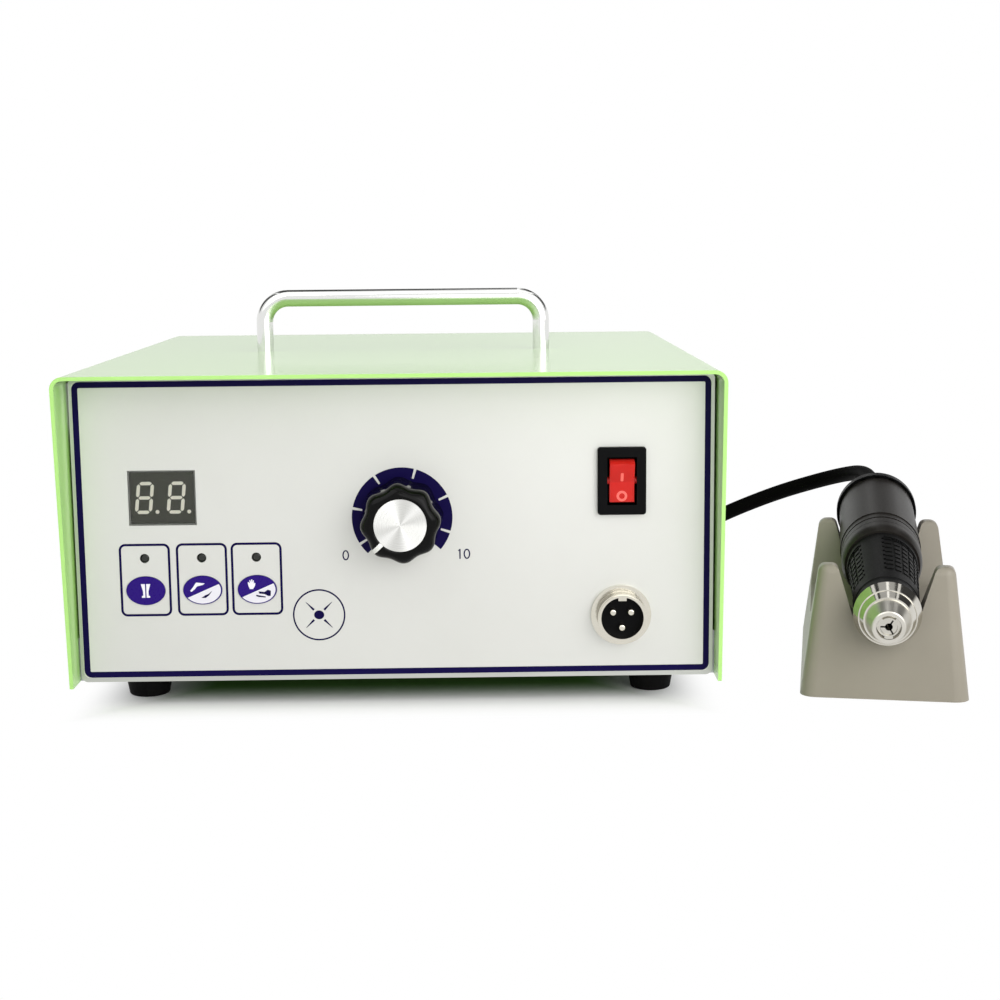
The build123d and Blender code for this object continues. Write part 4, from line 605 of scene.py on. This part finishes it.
def on_face(outline, place, lift, face=0.0, tilt=0.0):
    """Points of an outline, in millimetres about place (x, z), on a face that looks towards -Y.

    face is the face's Y at that place, lift how far the points stand off it, and tilt how far, in
    degrees, the face looks downwards.
    """
    outline = np.asarray(outline, float)
    lean = radians(tilt)
    up = outline[..., 1]
    return np.stack([place[0] + outline[..., 0], face - lift * cos(lean) - up * sin(lean),
                     place[1] + up * cos(lean) - lift * sin(lean)], axis=-1)


def stroke(name, path, width, place, material, closed=False, body="control_unit", slot="key_navy", **face):
    """A line of ink of one width: a flat rectangular section carried along the path."""
    path = np.asarray(path, float)
    if closed:
        ahead = np.roll(path, -1, axis=0) - np.roll(path, 1, axis=0)
    else:
        ahead = np.gradient(path, axis=0)
    ahead /= np.linalg.norm(ahead, axis=1)[:, None]
    side = np.stack([ahead[:, 1], -ahead[:, 0]], axis=-1) * width / 2
    outer, inner = path + side, path - side
    section = np.stack([on_face(outer, place, ink_height, **face), on_face(inner, place, ink_height, **face),
                        on_face(inner, place, -ink_sunk, **face), on_face(outer, place, -ink_sunk, **face)],
                       axis=1)
    made = solid_grid(name, in_case(section), material, loop=closed)
    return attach(made, body)


def patch(name, outline, place, material, body="control_unit", slot="key_navy", **face):
    """A filled shape of ink: its outline on the face and the same outline sunk below it."""
    rings = np.stack([on_face(outline, place, ink_height, **face),
                      on_face(outline, place, -ink_sunk, **face)])
    made = solid_grid(name, in_case(rings), material, loop=False)
    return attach(made, body)


film_width = (film_high.x - film_low.x) / MM
film_height = (film_high.z - film_low.z) / MM
film_middle = (0.0, (film_high.z + film_low.z) / 2 / MM)
border_width = 1.9
border_margin = 0.1
border_inset = border_width + 2 * border_margin
border_radius = 1.4
border_path = rounded_rectangle(film_width - border_inset, film_height - border_inset, border_radius)
stroke("print_border", border_path, border_width, film_middle, printed_ink, closed=True)

# Each key's frame; a key's entry holds its middle, its front and its body
key_frame = rounded_rectangle(width=15.4, height=22.7, radius=1.7)
key_frame_line = 0.75
key_frame_z = 41.7
keys = []
for node, body in (("key_mode", "mode_key"), ("key_hand", "hand_key"), ("key_foot", "foot_key")):
    low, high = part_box(node)
    x, _, z = to_case((low + high) / 2)
    keys.append(((x, z), to_case(low)[1], body))
    stroke(f"print_frame_{node}", key_frame, key_frame_line, (x, key_frame_z), printed_ink, closed=True)

# Pictograms, about the middle of each key: two facing wedges, two pens, a hand and a shoe
wedge_shape = [(0.2, 2.2), (0.2, -2.2), (1.3, -2.2), (1.3, -1.7), (0.85, -1.5), (0.85, -0.2), (1.5, 2.2),
               (0.75, 2.2)]
pen_shape = [(-4.0, -0.2), (-3.0, 1.05), (-2.0, 2.5), (0.75, 2.2), (0.1, 1.7), (-1.75, 1.25), (-2.4, 0.4),
             (-3.5, -0.5)]
nib_shape = [(3.05, -0.2), (2.0, -1.67), (0.96, -2.5), (-0.5, -2.5), (0.75, -1.67), (1.8, -1.25)]
hand_shape = [(-2.3, 0.2), (-1.3, 0.2), (-0.7, 1.2), (-0.5, 2.1), (-0.8, 2.2), (-1.0, 1.8), (-1.0, 3.0),
              (-1.3, 3.0), (-1.35, 2.2), (-1.5, 3.3), (-1.85, 3.3), (-1.85, 2.2), (-2.1, 3.1), (-2.4, 3.0),
              (-2.3, 2.0), (-2.7, 2.5), (-2.95, 2.3), (-2.75, 1.2)]
shoe_shape = [(0.4, -0.6), (2.3, -0.8), (3.3, -0.1), (4.3, -0.4), (4.2, -2.1), (3.4, -2.1), (2.3, -1.5),
              (0.6, -1.3)]
sole_shape = [(-0.4, -1.7), (0.6, -1.9), (2.6, -2.3), (2.6, -2.6), (0.4, -2.4), (-0.4, -2.1)]
mirrored_wedge = [(-x, z) for x, z in wedge_shape[::-1]]
pictograms = (
    ("right_wedge", 0, wedge_shape, white_ink), ("left_wedge", 0, mirrored_wedge, white_ink),
    ("pen", 1, pen_shape, white_ink), ("nib", 1, nib_shape, printed_ink),
    ("hand", 2, hand_shape, white_ink), ("shoe", 2, shoe_shape, printed_ink),
    ("sole", 2, sole_shape, printed_ink),
)
for name, number, shape, ink in pictograms:
    place, front, body = keys[number]
    patch(f"print_{name}", shape, place, ink, body=body,
          slot="nylon_white" if ink is white_ink else "key_navy", face=front)

# On and off marks of the rocker, moulded in paler plastic on its two faces.  The faces meet at its
# waist, and at rest the upper one looks down by the rocker's tilt.
rocker_x = to_case(middle_of(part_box("rocker")))[0]
rocker_waist_y = -1.167
rocker_waist_z = 71.588
rocker_tilt = 24.0
on_mark = rounded_rectangle(width=0.9, height=3.0, radius=0.3) + (0, 1.75)
off_mark_radius = 1.3
off_mark_line = 0.75
off_mark_drop = 4.5
patch("rocker_on_mark", on_mark, (rocker_x, rocker_waist_z), pale_red, body="power_rocker",
      slot="rocker_red", face=rocker_waist_y, tilt=rocker_tilt)
stroke("rocker_off_mark", arc(off_mark_radius, 0, 350, 36), off_mark_line,
       (rocker_x, rocker_waist_z - off_mark_drop), pale_red, closed=True, body="power_rocker",
       slot="rocker_red", face=rocker_waist_y)

# Dial: an indigo ring round the knob, whose outer part is broken by ticks
knob_x, _, knob_z = to_case(middle_of(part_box("knob_cap")))
knob_place = (knob_x, knob_z)
dial_outer = 15.9
dial_inner = 11.2
dial_ticks = (226, 212, 169, 123, 74, 25, -18, -41)
tick_gap = 0.75
tick_length = 3.1
tick_inner = dial_outer - tick_length
tick_radius = (dial_outer + tick_inner) / 2
spare = np.degrees(tick_gap / 2 / tick_radius)
for number, (start, end) in enumerate(zip(dial_ticks, dial_ticks[1:])):
    first = start if number == 0 else start - spare
    final = end if number == len(dial_ticks) - 2 else end + spare
    stroke(f"print_dial_{number}", arc(tick_radius, first, final), tick_length, knob_place, printed_ink)
stroke("print_dial_inner", arc((tick_inner + dial_inner) / 2, dial_ticks[0], dial_ticks[-1], 120),
       tick_inner - dial_inner, knob_place, printed_ink)

# The dial's figures: 0 at the left, and 1 and 0 at the right
figure_line = 0.42
figure_z = knob_z - 12.0
zero_shape = arc(1, 0, 354, 30) * (0.85, 1.45)
one_shape = [(-0.55, 0.95), (-0.1, 1.6), (-0.1, -1.6)]
for number, side in enumerate((-18.1, 20.3)):
    stroke(f"print_zero_{number}", zero_shape, figure_line, (knob_x + side, figure_z), printed_ink,
           closed=True)
stroke("print_one", one_shape, figure_line, (knob_x + 18.2, figure_z), printed_ink)


def knob_shell():
    """The knob's skirt with its eight flutes.

    A closed section goes round the knob's axis.  At the turn t its radius is
    r + f cos(8 (t - first_lobe)), where r is the section's radius and f the flute's height there:
    full on the outer wall, falling as a cosine over the rounded shoulder, and none inside.
    """
    flutes = 8
    flute_height = 0.55
    first_lobe = radians(230)
    steps_round, shoulder_steps = 240, 14
    # Distances from the film, then radii; the metal cap sits in the front's recess
    back, hollow_end, wall_end, recess, front = 0.6, 7.0, 11.8, 15.2, 15.98
    wall, hollow, bore, cap = 12.55, 9.3, 3.3, 8.22
    shoulder_start, shoulder_width, shoulder_depth = 8.9, 3.15, 4.2
    back_edge, mouth_edge, cap_edge = 0.25, 0.15, 0.13
    base = [(wall - back_edge, back, flute_height - 0.1), (wall - 0.08, back + 0.06, flute_height),
            (wall, back + back_edge, flute_height)]
    bend = np.linspace(0, pi / 2, shoulder_steps)
    shoulder = np.stack([shoulder_start + shoulder_width * np.cos(bend),
                         wall_end + shoulder_depth * np.sin(bend), flute_height * np.cos(bend)], axis=-1)
    inside = [(cap + cap_edge, front, 0), (cap, front - cap_edge, 0), (cap, recess, 0), (bore, recess, 0),
              (bore, hollow_end, 0), (hollow, hollow_end, 0), (hollow, back + mouth_edge, 0),
              (hollow + mouth_edge, back, 0)]
    section = np.vstack([base, shoulder, inside])
    turn = np.arange(steps_round) / steps_round * 2 * pi
    radius = section[:, :1] + section[:, 2:] * np.cos(flutes * (turn - first_lobe))
    places = np.stack([knob_x + radius * np.cos(turn), np.broadcast_to(-section[:, 1:2], radius.shape),
                       knob_z + radius * np.sin(turn)], axis=-1)
    made = solid_grid("knob_shell", in_case(places), knob_phenolic, smooth=True)
    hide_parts("knob_skirt")
    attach(made, "speed_knob")


knob_shell()

# A plain ring with a dot and four slanting wedges at the panel's lower middle
mark_place = (-24.6, 29.75)
mark_radius = 8.1
mark_line = 0.5
mark_wedge = np.array([(2.3, -0.37), (5.9, -0.06), (5.9, 0.06), (2.3, 0.37)])
stroke("print_mark_ring", arc(mark_radius, 0, 355, 72), mark_line, mark_place, printed_ink, closed=True)
for turn in (45, 135, 225, 315):
    lean = radians(turn)
    turned = mark_wedge @ np.array([(cos(lean), sin(lean)), (-sin(lean), cos(lean))])
    patch(f"print_mark_wedge_{turn}", turned, mark_place, printed_ink)
patch("print_mark_dot", arc(1, 0, 350, 36) * (1.6, 1.45), mark_place, printed_ink)


# Studio: a pale floor, a white surrounding and soft lamps
def seen_rays(tree):
    """Two shares: 1 for a ray that the eye sees straight or through glass, and 1 for a mirrored ray."""
    path = add(tree, "ShaderNodeLightPath").outputs
    return math(tree, "MAXIMUM", path["Is Camera Ray"], path["Is Transmission Ray"]), path["Is Glossy Ray"]


def make_floor():
    """Matt white paper.  Close to the unit it is lit by the lamps alone, so that the shadow beneath it stays
    dark; further off it turns to plain white, so that no horizon shows.  Right beneath the unit the paper's
    colour is a painted shade of deep green, tinted with painted green light that stands for what the cover
    throws there."""
    half = 3.0  # metres
    white_start, white_end = -24 * MM, 2 * MM  # how far outside the cover, which is negative under it
    # Painted shade beneath the unit: full at the first distance outside the cover, gone at the second
    painted_shade_full_at, painted_shade_gone_at = -42 * MM, -20 * MM
    data = bpy.data.meshes.new("floor")
    data.from_pydata([(-half, -half, 0), (half, -half, 0), (half, half, 0), (-half, half, 0)], [],
                     [(0, 1, 2, 3)])
    floor = bpy.data.objects.new("floor", data)
    bpy.context.collection.objects.link(floor)
    material, tree = blank_material("studio_paper")
    unit_low, unit_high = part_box("cover_shell")
    middle = (unit_low + unit_high) / 2
    size = unit_high - unit_low
    place = add(tree, "ShaderNodeTexCoord").outputs["Object"]
    centred = add(tree, "ShaderNodeVectorMath", {0: place, 1: (middle.x, middle.y, 0)},
                  operation="SUBTRACT")
    parts = add(tree, "ShaderNodeSeparateXYZ", {"Vector": centred.outputs["Vector"]}).outputs
    beside = math(tree, "SUBTRACT", math(tree, "ABSOLUTE", parts["X"]), size.x / 2)
    before = math(tree, "SUBTRACT", math(tree, "ABSOLUTE", parts["Y"]), size.y / 2)
    away = math(tree, "MAXIMUM", beside, before)
    share = between(tree, away, white_start, white_end, 0.0, 1.0)
    eye, mirrored = seen_rays(tree)
    seen_white = math(tree, "MULTIPLY", share, math(tree, "MAXIMUM", eye, mirrored))
    # Painted shade of deep green, strongest beneath the unit, mixed into the paper's white
    painted_shade_under_unit = between(tree, away, painted_shade_full_at, painted_shade_gone_at, 1.0, 0.0)
    tone = mix_tones(tree, painted_shade_under_unit, srgb("#F4F4F2"), srgb("#5F8A45"))
    paper = add(tree, "ShaderNodeBsdfDiffuse", {"Color": tone})
    white = add(tree, "ShaderNodeEmission", {"Color": (1, 1, 1, 1), "Strength": 1.0})
    mixed = add(tree, "ShaderNodeMixShader", {"Fac": seen_white, 1: paper.outputs["BSDF"],
                                              2: white.outputs["Emission"]})
    add(tree, "ShaderNodeOutputMaterial", {"Surface": mixed.outputs["Shader"]})
    data.materials.append(material)


def make_world():
    """White to the eye.  Mirrors see a white room in front and along the horizon, and a dark ceiling
    towards the rear with three narrow windows.  The pieces themselves get an even light that is
    weaker than the lamps and comes more from the right."""
    ceiling = 0.06
    windows = (-0.41, 0.08, 0.49)
    window_half = 0.045
    light_left, light_right = 0.06, 0.46
    # Where a direction's X, Y or Z starts and ends its change from one brightness to the other
    sideways, rearward, upward = (-0.8, 0.6), (-0.1, 0.3), (0.2, 0.34)
    world = bpy.data.worlds.new("studio")
    world.use_nodes = True
    bpy.context.scene.world = world
    tree = world.node_tree
    tree.nodes.clear()
    parts = add(tree, "ShaderNodeSeparateXYZ",
                {"Vector": add(tree, "ShaderNodeTexCoord").outputs["Object"]}).outputs
    in_front = between(tree, parts["Y"], *rearward, 1.0, ceiling)
    horizon = between(tree, parts["Z"], *upward, 1.0, ceiling)
    room = math(tree, "MAXIMUM", in_front, horizon)
    for window in windows:
        strip = add(tree, "ShaderNodeMath", {0: parts["X"], 1: window, 2: window_half},
                    operation="COMPARE")
        room = math(tree, "MAXIMUM", room, strip.outputs["Value"])
    eye, mirrored = seen_rays(tree)
    even_light = between(tree, parts["X"], *sideways, light_left, light_right)
    strength = mix_values(tree, eye, mix_values(tree, mirrored, even_light, room), 1.0)
    light = add(tree, "ShaderNodeBackground", {"Color": (1, 1, 1, 1), "Strength": strength})
    add(tree, "ShaderNodeOutputWorld", {"Surface": light.outputs["Background"]})


def softbox(name, place, aim, width, height, power):
    """A flat rectangular lamp at a place, looking at another, both in the case frame."""
    data = bpy.data.lights.new(name, "AREA")
    data.shape = "RECTANGLE"
    data.size = width * MM
    data.size_y = height * MM
    data.energy = power
    lamp = bpy.data.objects.new(name, data)
    here, there = Vector(in_case(place)), Vector(in_case(aim))
    turn = (there - here).to_track_quat("-Z", "Y").to_matrix().to_4x4()
    lamp.matrix_world = Matrix.Translation(here) @ turn
    bpy.context.collection.objects.link(lamp)


make_floor()
make_world()
softbox("lamp_above", (60, 60, 700), aim=(20, 90, 60), width=700, height=500, power=0.55)
softbox("lamp_front", (350, -750, 300), aim=(40, 0, 50), width=800, height=560, power=2.7)
softbox("lamp_right", (560, -520, 470), aim=(40, 0, 50), width=820, height=820, power=4.0)
softbox("lamp_left", (-420, -420, 620), aim=(0, 0, 50), width=640, height=640, power=1.85)

bpy.context.scene.view_settings.view_transform = "Standard"
